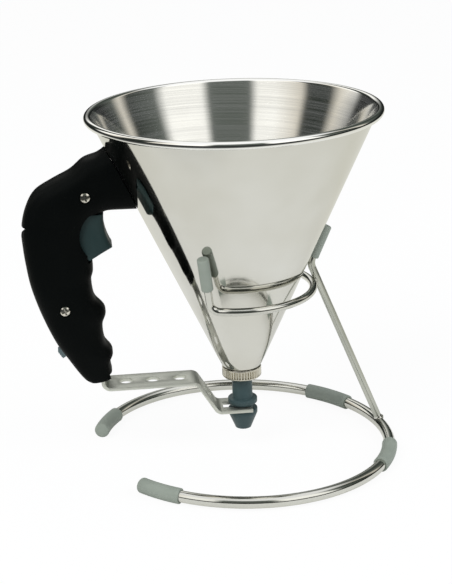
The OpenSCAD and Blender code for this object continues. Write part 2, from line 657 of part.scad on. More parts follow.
// The corner under a side prong, ahead of the holder ring's end
elbow = 6;
ring_end = prong_turn - atan(elbow / holder_r);
function corner(s) = polar(norm([holder_r, elbow]), holder_turn + s * prong_turn, -holder_v);
function ring_point(s) = polar(holder_r, holder_turn + s * ring_end, -holder_v);

// Steps of the ring's arc, from one side prong round to the other
ring_steps = 48;

module holder_ring() color("silver") on_funnel() wire(concat(
    [prong_tip(2)],
    corner_arc([prong_tip(2), corner(-1), ring_point(-1)], 1, 5),
    [for (k = [0 : ring_steps])
        polar(holder_r, holder_turn + ring_end * (2 * k / ring_steps - 1), -holder_v)],
    corner_arc([ring_point(1), corner(1), prong_tip(1)], 1, 5),
    [prong_tip(1)]), wire_r);

// The post runs from the base ring up past the holder ring, and bends to lie along the cone.
// It bends where its straight run past the ring meets the line beside the cone.
post_pass = holder_r + 2 * wire_r;                   // where it passes the ring, before the weld
post_side = (post_pass - base_r) / (rim_h - ring_z - holder_v);
post_lean = atan(post_side);
pass_r = holder_r + (2 * wire_r - weld_sink) / cos(post_lean);
post_slope = (base_r - pass_r) / (rim_h - ring_z - holder_v);
bend_v = (beside_cone(0, cap_off) - pass_r + post_slope * holder_v) / (post_slope + cone_slope);
post_bend = polar(beside_cone(bend_v, cap_off), holder_turn, -bend_v);
post_foot = polar(base_r, base_turn, ring_z + base_wire_r * 0.8);
function on_world(p) = leaned([p.x, p.y, p.z + rim_h]);

module post_wire() color("silver")
    wire(rounded([post_foot, on_world(post_bend), on_world(prong_tip(0))], wire_bend), wire_r);

// Cap over the last stretch of a prong, given two points of the prong
module prong_cap(from, tip) {
    d = unit(tip - from);
    u = square_to([0, 0, 1], d);
    placed(tip + d * (sleeve_wall - prong_cap_len), u, cross(d, u), d) difference() {
        union() {
            cylinder(h = prong_cap_len - 0.8, r = cap_r, $fn = small_fn);
            translate([0, 0, prong_cap_len - 0.8])
                cylinder(h = 0.8, r1 = cap_r, r2 = cap_r - 0.8, $fn = small_fn);
        }
        translate([0, 0, -cut])
            cylinder(h = cut + prong_cap_len - sleeve_wall + braze_gap, r = wire_r + braze_gap,
                $fn = small_fn);
    }
}

module prong_cap_far() color("slategray") on_funnel() prong_cap(corner(1), prong_tip(1));
module prong_cap_near() color("slategray") on_funnel() prong_cap(corner(-1), prong_tip(2));
module prong_cap_post() color("slategray") prong_cap(on_world(post_bend), on_world(prong_tip(0)));

funnel_cone();
outlet_spout();
outlet_seal();
collar_nut();
nozzle_valve();
lift_lever();
handle_bracket();
handle_shell_near();
handle_shell_far();
shell_screws();
trigger();
trigger_pin();
return_spring();
slide_button();
base_ring();
post_wire();
holder_ring();
base_cap_near();
base_cap_far();
base_sleeve_near();
base_sleeve_far();
prong_cap_near();
prong_cap_far();
prong_cap_post();
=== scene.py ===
import math

import bmesh
import bpy
from mathutils import Matrix, Vector, noise as lumps


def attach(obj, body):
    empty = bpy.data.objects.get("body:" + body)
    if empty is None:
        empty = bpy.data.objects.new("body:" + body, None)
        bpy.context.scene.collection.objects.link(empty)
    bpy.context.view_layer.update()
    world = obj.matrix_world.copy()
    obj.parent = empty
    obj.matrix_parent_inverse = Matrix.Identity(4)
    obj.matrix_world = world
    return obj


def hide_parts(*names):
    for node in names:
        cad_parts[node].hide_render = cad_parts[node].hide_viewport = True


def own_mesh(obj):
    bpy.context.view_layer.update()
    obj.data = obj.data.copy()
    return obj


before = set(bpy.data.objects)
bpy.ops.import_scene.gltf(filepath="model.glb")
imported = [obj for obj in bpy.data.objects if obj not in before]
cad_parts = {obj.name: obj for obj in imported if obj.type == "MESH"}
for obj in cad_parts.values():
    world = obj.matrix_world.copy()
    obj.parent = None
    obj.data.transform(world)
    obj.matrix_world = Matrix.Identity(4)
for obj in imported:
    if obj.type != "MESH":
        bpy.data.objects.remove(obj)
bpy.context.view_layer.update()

# ---------------------------------------------------------------- sizes
# Lengths are in mm and follow the part's source, or the photograph where it shows more than the source has.
# A depth counts down from the rim along the funnel's axis.

MM = 0.001
LEAN = math.radians(1.9)  # of the funnel in its stand, towards its handle
RIM_H = 182.0

# cone
RIM_R = 75.0
BEAD_R = 2.0
BEAD_MID = RIM_R - BEAD_R
CREASE = (BEAD_MID - 1.63, -1.16)  # where the outside runs into the bead
BEAD_START = 215.4  # degrees round the bead at the crease
CONE_DEPTH = 136.3
FOOT_R = 9.7
CONE_WALL = 1.0
CONE_ANGLE = (math.acos((BEAD_R - CONE_WALL) / math.hypot(BEAD_MID - FOOT_R, CONE_DEPTH))
              - math.atan2(CONE_DEPTH, BEAD_MID - FOOT_R))
SLOPE = math.tan(CONE_ANGLE)
CONE_TOP_R = FOOT_R + SLOPE * CONE_DEPTH
SHEET = CONE_WALL / math.cos(CONE_ANGLE)
CONE_EDGE = 135.1
EDGE_R = CONE_TOP_R - SLOPE * CONE_EDGE

# gaps
SLIDE_GAP = 0.08
PIN_GAP = 0.05
SEAT_GAP = 0.3

# nut, spout, seal and nozzle
NUT_R = 10.3
NUT_TOP = CONE_EDGE + 0.5
NUT_BOTTOM = 141.8
NUT_FLOOR = 1.4
KNURLS = 44
SPOUT_R = 8.0
SPOUT_END = NUT_BOTTOM - NUT_FLOOR - 0.2
SPOUT_RISE = 1.3
SEAL_T = 1.75
SEAL_RISE = 2.05
TUBE_R = 5.32
TUBE_BORE = 3.4
NOZZLE_R = 7.72
TIP_R = 4.3
TIP_LEN = 11.3
RING_H = 4.0
HEAD_R = 6.6
PORT_R = 2.2
PORT_DROP = 2.65  # from the valve head's seat to the upper edge of the ports

# lever
STRIP_T = 1.8
STRIP_W = 18.2
STRIP_BEND = 4.0
LEG_W = 10.0
STRIP_V = CONE_DEPTH + 4.0
FORK_V = STRIP_V + 17.3
BEND_OUT = 24.3  # upper and lower end of the diagonal, from the funnel's axis
BEND_IN = 13.7
TINE_REACH = 4.5  # of the fork past the axis
HOLE_R = 3.45
HOLE_FIRST = 8.6  # from the upper bend
HOLE_PITCH = 14.1
HOLES = 3

# handle and trigger
SIDE = 13.0
SHELL_WALL = 2.6
FOOT_GAP = 4.0
FOOT_V = STRIP_V - FOOT_GAP
SCREW_HEAD_R = 2.75
SCREW_R = 1.5
CRANK = 17.0  # from the pivot to the lever's leg
CRANK_T = 4.0
CRANK_STUB = 3.0
SWING = math.radians(22)  # of the trigger
VALVE_LIFT = 2 * CRANK * math.tan(SWING / 2)
TRIGGER_W = 18.0
HUB_R = 4.2
PIN_R = 1.5

# stand
BASE_R = 77.4
BASE_WIRE_R = 3.0
WIRE_R = 2.0
SLEEVE_WALL = 1.0
SLEEVE_R = BASE_WIRE_R + SLEEVE_WALL
SLEEVE_BORE = BASE_WIRE_R + PIN_GAP
CAP_R = WIRE_R + SLEEVE_WALL
CAP_BORE = WIRE_R + PIN_GAP
CAP_OFF = CAP_R + SEAT_GAP
RING_Z = SLEEVE_R
HOLDER_R = 38.3
HOLDER_V = 92.8
PRONG_TOP = 64.0  # depth at which the prongs end
PRONG_CAP_LEN = 18.0
BASE_TURN = 12.0
HOLDER_TURN = 4.5
PRONG_TURN = 122.0
BASE_GAP = 55.0
SLEEVE_LEN = 28.0
SLEEVE_TURN = 33
END_CAP_LEN = 24.0
BASE_MID = BASE_TURN + 2.5 + 180
WIRE_BEND = 7.0
PRONG_BEND = 5.0
WELD_SINK = 0.5

WORLD = Matrix.Scale(MM, 4)
ON_WORLD = Matrix.Rotation(-LEAN, 4, "Y") @ Matrix.Translation((0, 0, RIM_H))
FUNNEL = Matrix.Scale(MM, 4) @ Matrix.Rotation(-LEAN, 4, "Y") @ Matrix.Translation((0, 0, RIM_H))


def beside(depth):
    """Distance from the axis of a capped wire that lies along the cone at this depth."""
    return CONE_TOP_R - SLOPE * depth + CAP_OFF / math.cos(CONE_ANGLE)


def polar(r, deg, z):
    return Vector((r * math.cos(math.radians(deg)), r * math.sin(math.radians(deg)), z))


def handle_x(u):
    """x of a point that lies u mm in from the rim's handle side."""
    return u - RIM_R


# ---------------------------------------------------------------- materials

STEEL_MOTTLE = 30  # blotches to the metre
PLASTIC_MOTTLE = 60


class Tree:
    """The nodes of one material or world, and short ways to add them."""

    def __init__(self, owner):
        owner.use_nodes = True
        self.nodes, self.links = owner.node_tree.nodes, owner.node_tree.links
        self.nodes.clear()

    def add(self, kind, inputs=None, **settings):
        """A new node. Each of its inputs is given a value or is linked to an output."""
        node = self.nodes.new("ShaderNode" + kind)
        for key, value in settings.items():
            setattr(node, key, value)
        for key, value in (inputs or {}).items():
            if isinstance(value, bpy.types.NodeSocket):
                self.links.new(value, node.inputs[key])
            else:
                node.inputs[key].default_value = value
        return node

    def place(self, scale=(1, 1, 1), location=(0, 0, 0)):
        where = self.add("TexCoord").outputs["Object"]
        return self.add("Mapping", {"Vector": where, "Scale": scale, "Location": location}).outputs[0]

    def noise(self, vector, detail=3.0, rough=0.5):
        return self.add("TexNoise", {"Vector": vector, "Scale": 1.0, "Detail": detail,
                                     "Roughness": rough}).outputs["Fac"]

    def ramp(self, fac, stops):
        node = self.add("ValToRGB", {"Fac": fac})
        els = node.color_ramp.elements
        while len(els) < len(stops):
            els.new(0.5)
        for el, (pos, col) in zip(els, stops):
            el.position = pos
            el.color = (*col, 1) if isinstance(col, tuple) else (col, col, col, 1)
        return node.outputs["Color"]

    def span(self, fac, low, high, a, b):
        """fac as it goes from a to b, turned into low to high."""
        return self.add("MapRange", {"Value": fac, "From Min": a, "From Max": b, "To Min": low,
                                     "To Max": high}).outputs["Result"]

    def length(self, vector):
        return self.add("VectorMath", {0: vector}, operation="LENGTH").outputs["Value"]

    def product(self, a, b):
        return self.add("Math", {0: a, 1: b}, operation="MULTIPLY").outputs[0]

    def colours(self, a, b, factor, blend="MIX"):
        return self.add("Mix", {"A": a, "B": b, "Factor": factor}, data_type="RGBA",
                        blend_type=blend).outputs["Result"]

    def shaders(self, a, b, factor):
        return self.add("MixShader", {0: factor, 1: a, 2: b}).outputs[0]


def new_material(name):
    mat = bpy.data.materials.new(name)
    tree = Tree(mat)
    bsdf = tree.add("BsdfPrincipled")
    tree.add("OutputMaterial", {0: bsdf.outputs[0]})
    return mat, tree, bsdf


def surface(tree, bsdf, colour, rough, bump, strength, distance):
    """Links colour and roughness, and a bump if there is one."""
    tree.links.new(colour, bsdf.inputs["Base Color"])
    tree.links.new(rough, bsdf.inputs["Roughness"])
    if bump:
        raised = tree.add("Bump", {"Strength": strength, "Distance": distance, "Height": bump})
        tree.links.new(raised.outputs["Normal"], bsdf.inputs["Normal"])


def steel(name, dark, light, rough, grain=(400, 400, 400), spread=0.03, bump_mm=0.0, anisotropic=0.0,
          streak=0.0):
    """Stainless steel or nickel, faintly mottled. Its grain shows in roughness, in bump and as streaks."""
    mat, tree, bsdf = new_material(name)
    colour = tree.ramp(tree.noise(tree.place((STEEL_MOTTLE,) * 3), 2.0), [(0.3, dark), (0.7, light)])
    fine = tree.noise(tree.place(grain), 4.0, 0.65)
    bsdf.inputs["Metallic"].default_value = 1.0
    if streak:
        lines = tree.ramp(fine, [(0.32, 1 - streak), (0.68, 1.0)])
        colour = tree.colours(colour, lines, 1.0, "MULTIPLY")
        tree.links.new(tree.span(fine, 0.88, 1.0, 0.36, 0.6), bsdf.inputs["Metallic"])
    if anisotropic:
        bsdf.inputs["Anisotropic"].default_value = anisotropic
        round_axis = tree.add("Tangent", direction_type="RADIAL", axis="Z")
        tree.links.new(round_axis.outputs[0], bsdf.inputs["Tangent"])
    surface(tree, bsdf, colour, tree.span(fine, rough - spread, rough + spread, 0.3, 0.7),
            fine if bump_mm else None, 1.0, bump_mm * MM)
    return mat


def plastic(name, dark, light, rough, grain=1400, bump_mm=0.01, spread=0.05, specular=0.5):
    """Moulded plastic or silicone with a fine texture from the mould."""
    mat, tree, bsdf = new_material(name)
    colour = tree.ramp(tree.noise(tree.place((PLASTIC_MOTTLE,) * 3)), [(0.3, dark), (0.7, light)])
    fine = tree.noise(tree.place((grain,) * 3), 2.0)
    bsdf.inputs["Specular IOR Level"].default_value = specular
    surface(tree, bsdf, colour, tree.span(fine, rough - spread, rough + spread, 0.3, 0.7),
            fine, 0.6, bump_mm * MM)
    return mat


POLISHED = steel("cone_polished", (0.70, 0.69, 0.64), (0.76, 0.755, 0.72), 0.06, (900, 900, 60), 0.02)
TURNED = steel("cone_turned", (0.80, 0.795, 0.765), (0.88, 0.88, 0.855), 0.09, (3, 3, 800), 0.035,
               bump_mm=0.008, anisotropic=0.5, streak=0.25)
BEAD = steel("cone_bead", (0.92, 0.92, 0.90), (0.96, 0.96, 0.94), 0.05)
FITTING = steel("fitting_turned", (0.66, 0.65, 0.62), (0.74, 0.73, 0.70), 0.25, (40, 40, 1500), 0.05, 0.01)
NICKEL = steel("nut_nickel", (0.67, 0.64, 0.56), (0.78, 0.75, 0.67), 0.2, (500, 500, 500), 0.05, 0.004)
STRIP = steel("lever_satin", (0.71, 0.725, 0.665), (0.80, 0.815, 0.755), 0.5, (60, 1800, 1800), 0.07, 0.006)
BRACKET = steel("bracket_satin", (0.62, 0.61, 0.58), (0.7, 0.69, 0.66), 0.3, (60, 1800, 1800), 0.06, 0.006)
SCREW = steel("screw_plated", (0.70, 0.67, 0.60), (0.82, 0.79, 0.72), 0.16, (900, 900, 900), 0.05, 0.004)
WIRE = steel("stand_wire", (0.66, 0.66, 0.62), (0.74, 0.74, 0.70), 0.12, (300, 300, 300), 0.03, 0.002)
POST = steel("post_satin", (0.47, 0.485, 0.44), (0.57, 0.58, 0.53), 0.2, (300, 300, 60), 0.05, 0.004)
SPRING = steel("spring_wire", (0.5, 0.5, 0.5), (0.6, 0.6, 0.6), 0.3)
BLACK = plastic("handle_black", (0.0014, 0.0021, 0.0020), (0.0022, 0.0030, 0.0028), 0.5, 2200, 0.006,
                0.04, 0.055)
TRIGGER = plastic("trigger_slate", (0.015, 0.033, 0.033), (0.020, 0.040, 0.039), 0.45, 2200, 0.006,
                  0.05, 0.22)
NOZZLE = plastic("nozzle_slate", (0.034, 0.060, 0.063), (0.044, 0.072, 0.075), 0.36, 2200, 0.004, 0.05, 0.3)
BUTTON = plastic("button_grey", (0.085, 0.125, 0.13), (0.105, 0.15, 0.155), 0.45, 2200, 0.006)
SILICONE = plastic("stand_silicone", (0.232, 0.262, 0.222), (0.270, 0.302, 0.258), 0.55, 1200, 0.01,
                   0.05, 0.35)
SEAL = plastic("seal_silicone", (0.30, 0.31, 0.33), (0.34, 0.35, 0.37), 0.5)

# The two CAD nodes that stay as they are.
for node_name, look in (("handle_bracket", BRACKET), ("trigger_pin", FITTING)):
    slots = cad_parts[node_name].data.materials
    if slots:
        slots[0] = look
    else:
        slots.append(look)


# ---------------------------------------------------------------- mesh code

def new_mesh(name, verts, faces, indices=None):
    mesh = bpy.data.meshes.new(name)
    mesh.from_pydata([tuple(v) for v in verts], [], faces)
    if indices:
        mesh.polygons.foreach_set("material_index", indices)
    bm = bmesh.new()
    bm.from_mesh(mesh)
    bmesh.ops.recalc_face_normals(bm, faces=bm.faces)
    bm.to_mesh(mesh)
    bm.free()
    return mesh


def add_piece(name, mesh, looks, body, matrix, nodes, sharp):
    """Places a mesh that was drawn in mm, and hands it to the body that carries it."""
    mesh.transform(matrix)
    if len(mesh.materials):  # a modifier leaves an empty slot behind
        mesh.materials.clear()
    for look in looks:
        mesh.materials.append(look)
    mesh.shade_smooth()
    mesh.set_sharp_from_angle(angle=math.radians(sharp))
    obj = bpy.data.objects.new(name, mesh)
    bpy.context.scene.collection.objects.link(obj)
    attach(obj, body)
    if nodes:
        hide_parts(*nodes)
    return obj


def evaluated(mesh, build):
    """The mesh after the modifiers that build() puts on it."""
    obj = bpy.data.objects.new("work", mesh)
    bpy.context.scene.collection.objects.link(obj)
    tools = build(obj) or []
    bpy.context.view_layer.update()
    out = bpy.data.meshes.new_from_object(obj.evaluated_get(bpy.context.evaluated_depsgraph_get()))
    for o in [obj] + tools:
        data = o.data
        bpy.data.objects.remove(o)
        bpy.data.meshes.remove(data)
    return out


def combine(mesh, others, operation="DIFFERENCE"):
    def build(obj):
        tools = []
        for other in others:
            tool = bpy.data.objects.new("tool", other)
            bpy.context.scene.collection.objects.link(tool)
            mod = obj.modifiers.new("combine", "BOOLEAN")
            mod.object, mod.operation, mod.solver = tool, operation, "MANIFOLD"
            tools.append(tool)
        return tools
    return evaluated(mesh, build)


def bevelled(mesh, width, segments=2, angle=40):
    def build(obj):
        mod = obj.modifiers.new("bevel", "BEVEL")
        mod.width, mod.segments, mod.limit_method = width, segments, "ANGLE"
        mod.angle_limit = math.radians(angle)
    return evaluated(mesh, build)


def loop_rows(rows):
    """Faces round a closed loop of rows of points, and the row each starts at. One point is a pole."""
    faces, owner = [], []
    for i in range(len(rows)):
        a, b = rows[i], rows[(i + 1) % len(rows)]
        if len(a) == 1 and len(b) == 1:
            continue
        count = max(len(a), len(b))
        for k in range(count):
            m = (k + 1) % count
            if len(a) == 1:
                faces.append((a[0], b[m], b[k]))
            elif len(b) == 1:
                faces.append((a[k], a[m], b[0]))
            else:
                faces.append((a[k], a[m], b[m], b[k]))
            owner.append(i)
    return faces, owner


def ring_mesh(name, places, count, pick=None):
    """A closed loop of rings. Each place is (centre, u, v, radius)."""
    verts, rows = [], []
    for centre, u, v, r in places:
        if r < 1e-6:
            rows.append([len(verts)])
            verts.append(centre)
            continue
        rows.append(list(range(len(verts), len(verts) + count)))
        for k in range(count):
            q = 2 * math.pi * k / count
            verts.append(centre + u * (r * math.cos(q)) + v * (r * math.sin(q)))
    faces, owner = loop_rows(rows)
    return new_mesh(name, verts, faces, [pick(i) for i in owner] if pick else None)


X, Y, Z = Vector((1, 0, 0)), Vector((0, 1, 0)), Vector((0, 0, 1))


def lathe(name, profile, count=128, pick=None):
    return ring_mesh(name, [(Z * z, X, Y, r) for r, z in profile], count, pick)


def prism(points, y0, y1, name="prism"):
    """A polygon of (x, z) points drawn out along y."""
    n = len(points)
    verts = [(x, y0, z) for x, z in points] + [(x, y1, z) for x, z in points]
    faces = [tuple(range(n)), tuple(range(2 * n - 1, n - 1, -1))]
    faces += [(k, (k + 1) % n, n + (k + 1) % n, n + k) for k in range(n)]
    return new_mesh(name, verts, faces)


def block(x0, x1, y0, y1, z0, z1, matrix=None):
    mesh = prism([(x0, z0), (x1, z0), (x1, z1), (x0, z1)], y0, y1, "block")
    if matrix:
        mesh.transform(matrix)
    return mesh


def arc(cx, cz, r, a0, a1, n):
    return [(cx + r * math.cos(math.radians(a0 + (a1 - a0) * k / n)),
             cz + r * math.sin(math.radians(a0 + (a1 - a0) * k / n))) for k in range(n + 1)]


def rod_y(x, z, r, y0, y1, count=64):
    return prism(arc(x, z, r, 0, 360 - 360 / count, count - 1), y0, y1, "rod")


def rod_z(x, y, r, z0, z1, count=64):
    mesh = lathe("rod", [(0, z0), (r, z0), (r, z1), (0, z1)], count)
    mesh.transform(Matrix.Translation((x, y, 0)))
    return mesh


def corner_arc(a, p, b, bend, step=5.0):
    """Points of the arc of radius bend that rounds the corner p between a and b."""
    d, e = (p - a).normalized(), (b - p).normalized()
    full = d.angle(e)
    side = e - d * e.dot(d)
    side.normalize()
    c = p - d * (bend * math.tan(full / 2)) + side * bend
    n = max(2, math.ceil(math.degrees(full) / step))
    return [c + (d * math.sin(full * k / n) - side * math.cos(full * k / n)) * bend for k in range(n + 1)]


def rounded(points, bend, step=5.0):
    out = [points[0]]
    for i in range(1, len(points) - 1):
        out += corner_arc(points[i - 1], points[i], points[i + 1], bend, step)
    return out + [points[-1]]


def refined(path, longest=3.0):
    """The path with its long stretches cut up, so that reflections bend evenly."""
    out = [path[0]]
    for a, b in zip(path, path[1:]):
        n = max(1, math.ceil((b - a).length / longest))
        out += [a.lerp(b, k / n) for k in range(1, n + 1)]
    return out


def sweep(name, path, radius, count=28):
    """A round wire along a path, closed at its ends."""
    headings = []
    for i in range(len(path)):
        before = (path[i] - path[i - 1]).normalized() if i else Vector()
        after = (path[i + 1] - path[i]).normalized() if i < len(path) - 1 else Vector()
        headings.append((before + after).normalized())
    v = headings[0].cross(Vector((0.31, 0.52, 0.8))).normalized()
    places = [(path[0], v, headings[0].cross(v), 0.0)]
    for p, t in zip(path, headings):
        v = (v - t * v.dot(t)).normalized()
        places.append((p, v, t.cross(v), radius))
    places.append((path[-1], v, headings[-1].cross(v), 0.0))
    return ring_mesh(name, places, count)


# ---------------------------------------------------------------- funnel

WALL_STEPS = 24
BEAD_STEPS = 36


def funnel_profile():
    """Closed profile of the sheet and its rolled bead, and where in it the bead and the inside start."""
    out = [(EDGE_R - SHEET, -CONE_EDGE + 0.1), (EDGE_R - 0.15, -CONE_EDGE), (EDGE_R, -CONE_EDGE + 0.15)]
    for k in range(1, WALL_STEPS + 1):
        t = k / WALL_STEPS
        out.append((EDGE_R + (CREASE[0] - EDGE_R) * t, -CONE_EDGE + (CONE_EDGE + CREASE[1]) * t))
    bead_from = len(out) - 1
    bead_end = 180 - math.degrees(CONE_ANGLE) + 360
    for k in range(1, BEAD_STEPS + 1):
        a = math.radians(BEAD_START + (bead_end - BEAD_START) * k / BEAD_STEPS)
        out.append((BEAD_MID + BEAD_R * math.cos(a), BEAD_R * math.sin(a)))
    inner_from = len(out) - 1
    top = out[-1]
    for k in range(1, WALL_STEPS):
        t = k / WALL_STEPS
        out.append((top[0] + (EDGE_R - SHEET - top[0]) * t, top[1] + (-CONE_EDGE + 0.1 - top[1]) * t))
    return out, bead_from, inner_from


def make_funnel():
    profile, bead_from, inner_from = funnel_profile()
    mesh = lathe("funnel_cone_drawn", profile, 320,
                 lambda i: 0 if i < bead_from else 2 if i < inner_from else 1)
    add_piece("funnel_cone_drawn", mesh, [POLISHED, TURNED, BEAD], "funnel", FUNNEL,
              ["funnel_cone"], 30)


def make_spout():
    """Turned outlet under the cone's edge, and the seal that the valve's head sits on."""
    inner, recess, low = TUBE_R + SLIDE_GAP, HEAD_R + 0.55, EDGE_R - SHEET - 0.05
    edge, shelf = -CONE_EDGE, -CONE_EDGE + SEAL_RISE - SEAL_T - 0.05
    mesh = lathe("outlet_spout_drawn", [
        (inner, -SPOUT_END + 0.2), (inner + 0.2, -SPOUT_END), (SPOUT_R - 0.25, -SPOUT_END),
        (SPOUT_R, -SPOUT_END + 0.25), (SPOUT_R, edge - 0.05), (SPOUT_R + 0.05, edge), (low, edge),
        (low + SPOUT_RISE * SLOPE, edge + SPOUT_RISE), (recess, edge + SPOUT_RISE), (recess, shelf),
        (inner, shelf)])
    add_piece("outlet_spout_drawn", mesh, [FITTING], "funnel", FUNNEL, ["outlet_spout"], 30)
    top, r = -CONE_EDGE + SEAL_RISE, HEAD_R + 0.5
    mesh = lathe("outlet_seal_drawn", [
        (inner, top - SEAL_T), (r - 0.2, top - SEAL_T), (r, top - SEAL_T + 0.2), (r, top - 0.3),
        (r - 0.09, top - 0.09), (r - 0.3, top), (inner + 0.2, top), (inner, top - 0.2)], 96)
    add_piece("outlet_seal_drawn", mesh, [SEAL], "funnel", FUNNEL, ["outlet_seal"], 40)


KNURL_CUTS = [0.0, 0.0, 0.12, 0.5, 0.95, 0.95, 0.5, 0.12]  # depth across one knurl and the groove beside it


def make_nut():
    """Collar nut with vertical knurls between a smooth top band and a round lower rim."""
    top, bottom = -NUT_TOP, -NUT_BOTTOM
    steps = len(KNURL_CUTS)
    count = KNURLS * steps
    high = top - bottom
    # height over the lower rim, change of radius, and whether the knurls are cut there
    levels = [(0.0, -1.6, 0), (0.1, -1.25, 0), (0.35, -0.8, 0), (0.7, -0.4, 0), (1.1, -0.12, 0), (1.4, 0, 0),
              (1.55, -0.02, 1), (3.0, -0.02, 1), (high - 1.0, -0.02, 1), (high - 0.85, 0, 0),
              (high - 0.5, 0, 0), (high - 0.2, -0.06, 0), (high - 0.06, -0.18, 0), (high, -0.4, 0)]
    verts, rows = [], []

    def add_row(z, radius_at):
        rows.append(list(range(len(verts), len(verts) + count)))
        for k in range(count):
            q = 2 * math.pi * (k + 0.5) / count
            r = radius_at(k)
            verts.append((r * math.cos(q), r * math.sin(q), z))
    for rise, change, cut in levels:
        add_row(bottom + rise, lambda k: NUT_R + change - KNURL_CUTS[k % steps] * cut)
    thread, hole = SPOUT_R + PIN_GAP, TUBE_R + SLIDE_GAP
    for r, z in ((thread + 0.25, top), (thread, top - 0.25), (thread, bottom + NUT_FLOOR),
                 (hole, bottom + NUT_FLOOR), (hole, bottom + 0.15), (hole + 0.15, bottom)):
        add_row(z, lambda k: r)
    mesh = new_mesh("collar_nut_drawn", verts, loop_rows(rows)[0])
    add_piece("collar_nut_drawn", mesh, [NICKEL], "nut", FUNNEL, ["collar_nut"], 25)


def make_nozzle():
    """Valve head, tube, gripped ring and tapered tip in one moulding, with two cross holes under the head."""
    seat = -(CONE_EDGE - SEAL_RISE - 0.05)
    ring_top = -FORK_V + RING_H
    fork = -FORK_V
    low = fork - STRIP_T
    tip = low - TIP_LEN
    r = NOZZLE_R
    profile = [
        (0, seat + 4.6), (1.2, seat + 4.55), (2.4, seat + 4.3), (HEAD_R - 0.8, seat + 1.3),
        (HEAD_R - 0.2, seat + 0.9), (HEAD_R, seat + 0.6), (HEAD_R, seat + 0.1), (HEAD_R - 0.1, seat),
        (TUBE_R, seat), (TUBE_R, ring_top + 0.25), (TUBE_R + 0.1, ring_top + 0.06),
        (TUBE_R + 0.3, ring_top), (r - 0.6, ring_top), (r - 0.25, ring_top - 0.08),
        (r - 0.06, ring_top - 0.28), (r, ring_top - 0.6), (r, ring_top - 2.4), (r - 0.12, ring_top - 2.7),
        (r - 0.5, ring_top - 2.85), (r - 1.1, ring_top - 2.9), (r - 1.15, ring_top - 3.0),
        (r - 1.15, fork + 0.35), (r - 1.25, fork + 0.25), (TUBE_R, fork + 0.25),
        (TUBE_R, low - 0.25), (r - 0.35, low - 0.25),
        (r - 0.1, low - 0.35), (r, low - 0.6), (r, low - 2.4), (r - 0.05, low - 2.8)]
    taper_steps = 8
    for k in range(1, taper_steps):
        t = k / taper_steps
        profile.append((r - 0.05 + (TIP_R - r + 0.1) * t, low - 2.8 + (tip + 0.6 - low + 2.8) * t))
    profile += [(TIP_R + 0.02, tip + 0.5), (TIP_R - 0.12, tip + 0.14), (TIP_R - 0.4, tip),
                (TUBE_BORE + 0.15, tip), (TUBE_BORE, tip + 0.15), (TUBE_BORE, seat - 0.4), (0, seat - 0.4)]
    ports = []
    for a in (45, 135):
        rod = rod_y(0, 0, PORT_R, -NOZZLE_R, NOZZLE_R, 32)
        rod.transform(Matrix.Translation((0, 0, seat - PORT_DROP - PORT_R))
                      @ Matrix.Rotation(math.radians(a), 4, "Z"))
        ports.append(rod)
    mesh = combine(lathe("nozzle_valve_drawn", profile, 96), ports)
    add_piece("nozzle_valve_drawn", mesh, [NOZZLE], "lift", FUNNEL, ["nozzle_valve"], 30)


# ---------------------------------------------------------------- handle

# Each section of the handle: its back, its front, and its share of the full width.
# A point is how far it lies in from the rim's handle side, and its depth.
GRIP = [
    ((16.7, 8.4), (34.9, 45.7), 0.94), ((10.5, 14), (26.2, 46.2), 0.97), ((5.7, 17.5), (18, 46), 1),
    ((-1.5, 20), (10.4, 45.9), 1), ((-8.4, 25.5), (7.4, 46.5), 1), ((-17.8, 30.2), (4.2, 48.1), 1),
    ((-26.8, 35.6), (1.8, 51), 1), ((-31.8, 43.9), (0.2, 56.4), 1), ((-34.4, 54.1), (-0.4, 62.2), 1),
    ((-34.2, 64.1), (0.2, 70), 1), ((-33.3, 73.6), (0.4, 77.2), 1), ((-32, 82.5), (-0.8, 82.5), 1),
    ((-30, 90.5), (0.4, 92.4), 1), ((-27.4, 98.9), (5.5, 99.5), 1), ((-24.1, 107.5), (3.6, 106.5), 1),
    ((-20.5, 115.4), (4.3, 116.2), 1), ((-17.1, 121), (8, 122.2), 1), ((-13.6, 126.5), (6.5, 127), 0.99),
    ((-10.5, 131.2), (7.2, 133.2), 0.97), ((-7.6, 135), (7.6, 134.7), 0.94),
    ((-5.3, 136.3), (4.7, 135.5), 0.9)]
ROUNDNESS = 3.2
STATIONS = 6
HALF_STEPS = 34
SEAM_GROOVE = 0.25  # depth of the groove where the halves meet
SEAM_HALF = 0.22
SEAM_GAP = 0.02  # from each half's flat side to the middle
HOLLOW_PAST = 0.9  # how far the hollow is drawn past the middle
SOLID_FOOT = 8  # stations at the lower end that aren't hollow

PIVOT = (handle_x(-6.5), -48.5)
NOTCH_TOP = -46.7
NOTCH_C = (handle_x(9.5), -58.5)
NOTCH_R = 15.0
PAD_TIP = (handle_x(10.7), -64.9)
PAD_HEEL = (handle_x(-0.8), -70.8)
PAD_EDGE = (handle_x(7.2), -47.2)
PAD_CURVE = 30.0
PAD_ROUND = 3.2
PAD_ROWS = 9
WELL_SIDE = TRIGGER_W / 2 + 0.4
BACK_SLOT = (handle_x(-34.4), -54.6)
BACK_SLOT_H = 5.4
BACK_SLOT_W = 17.0
SPRING_ARM = 8.5
SPRING_X = PIVOT[0] - SPRING_ARM
SPRING_R = 2.9
SPRING_WIRE = 0.8
SPRING_TURNS = 5
SPRING_LOW = (PIVOT[1] - SPRING_ARM * math.tan(SWING / 2) + CRANK_T / 2 / math.cos(SWING / 2)
              + 1.1 * SPRING_WIRE + 0.9)
SPRING_HIGH = -36 - SPRING_WIRE / 2 - 0.1
LEG_X = handle_x(2)
LEG_TOP_X = PIVOT[0] - CRANK
LEG_NECK = STRIP_V - 6
LEG_BEND_LOW = -(FOOT_V - 8)
LEG_BEND_HIGH = -58.0
LEG_TOP = -44.0
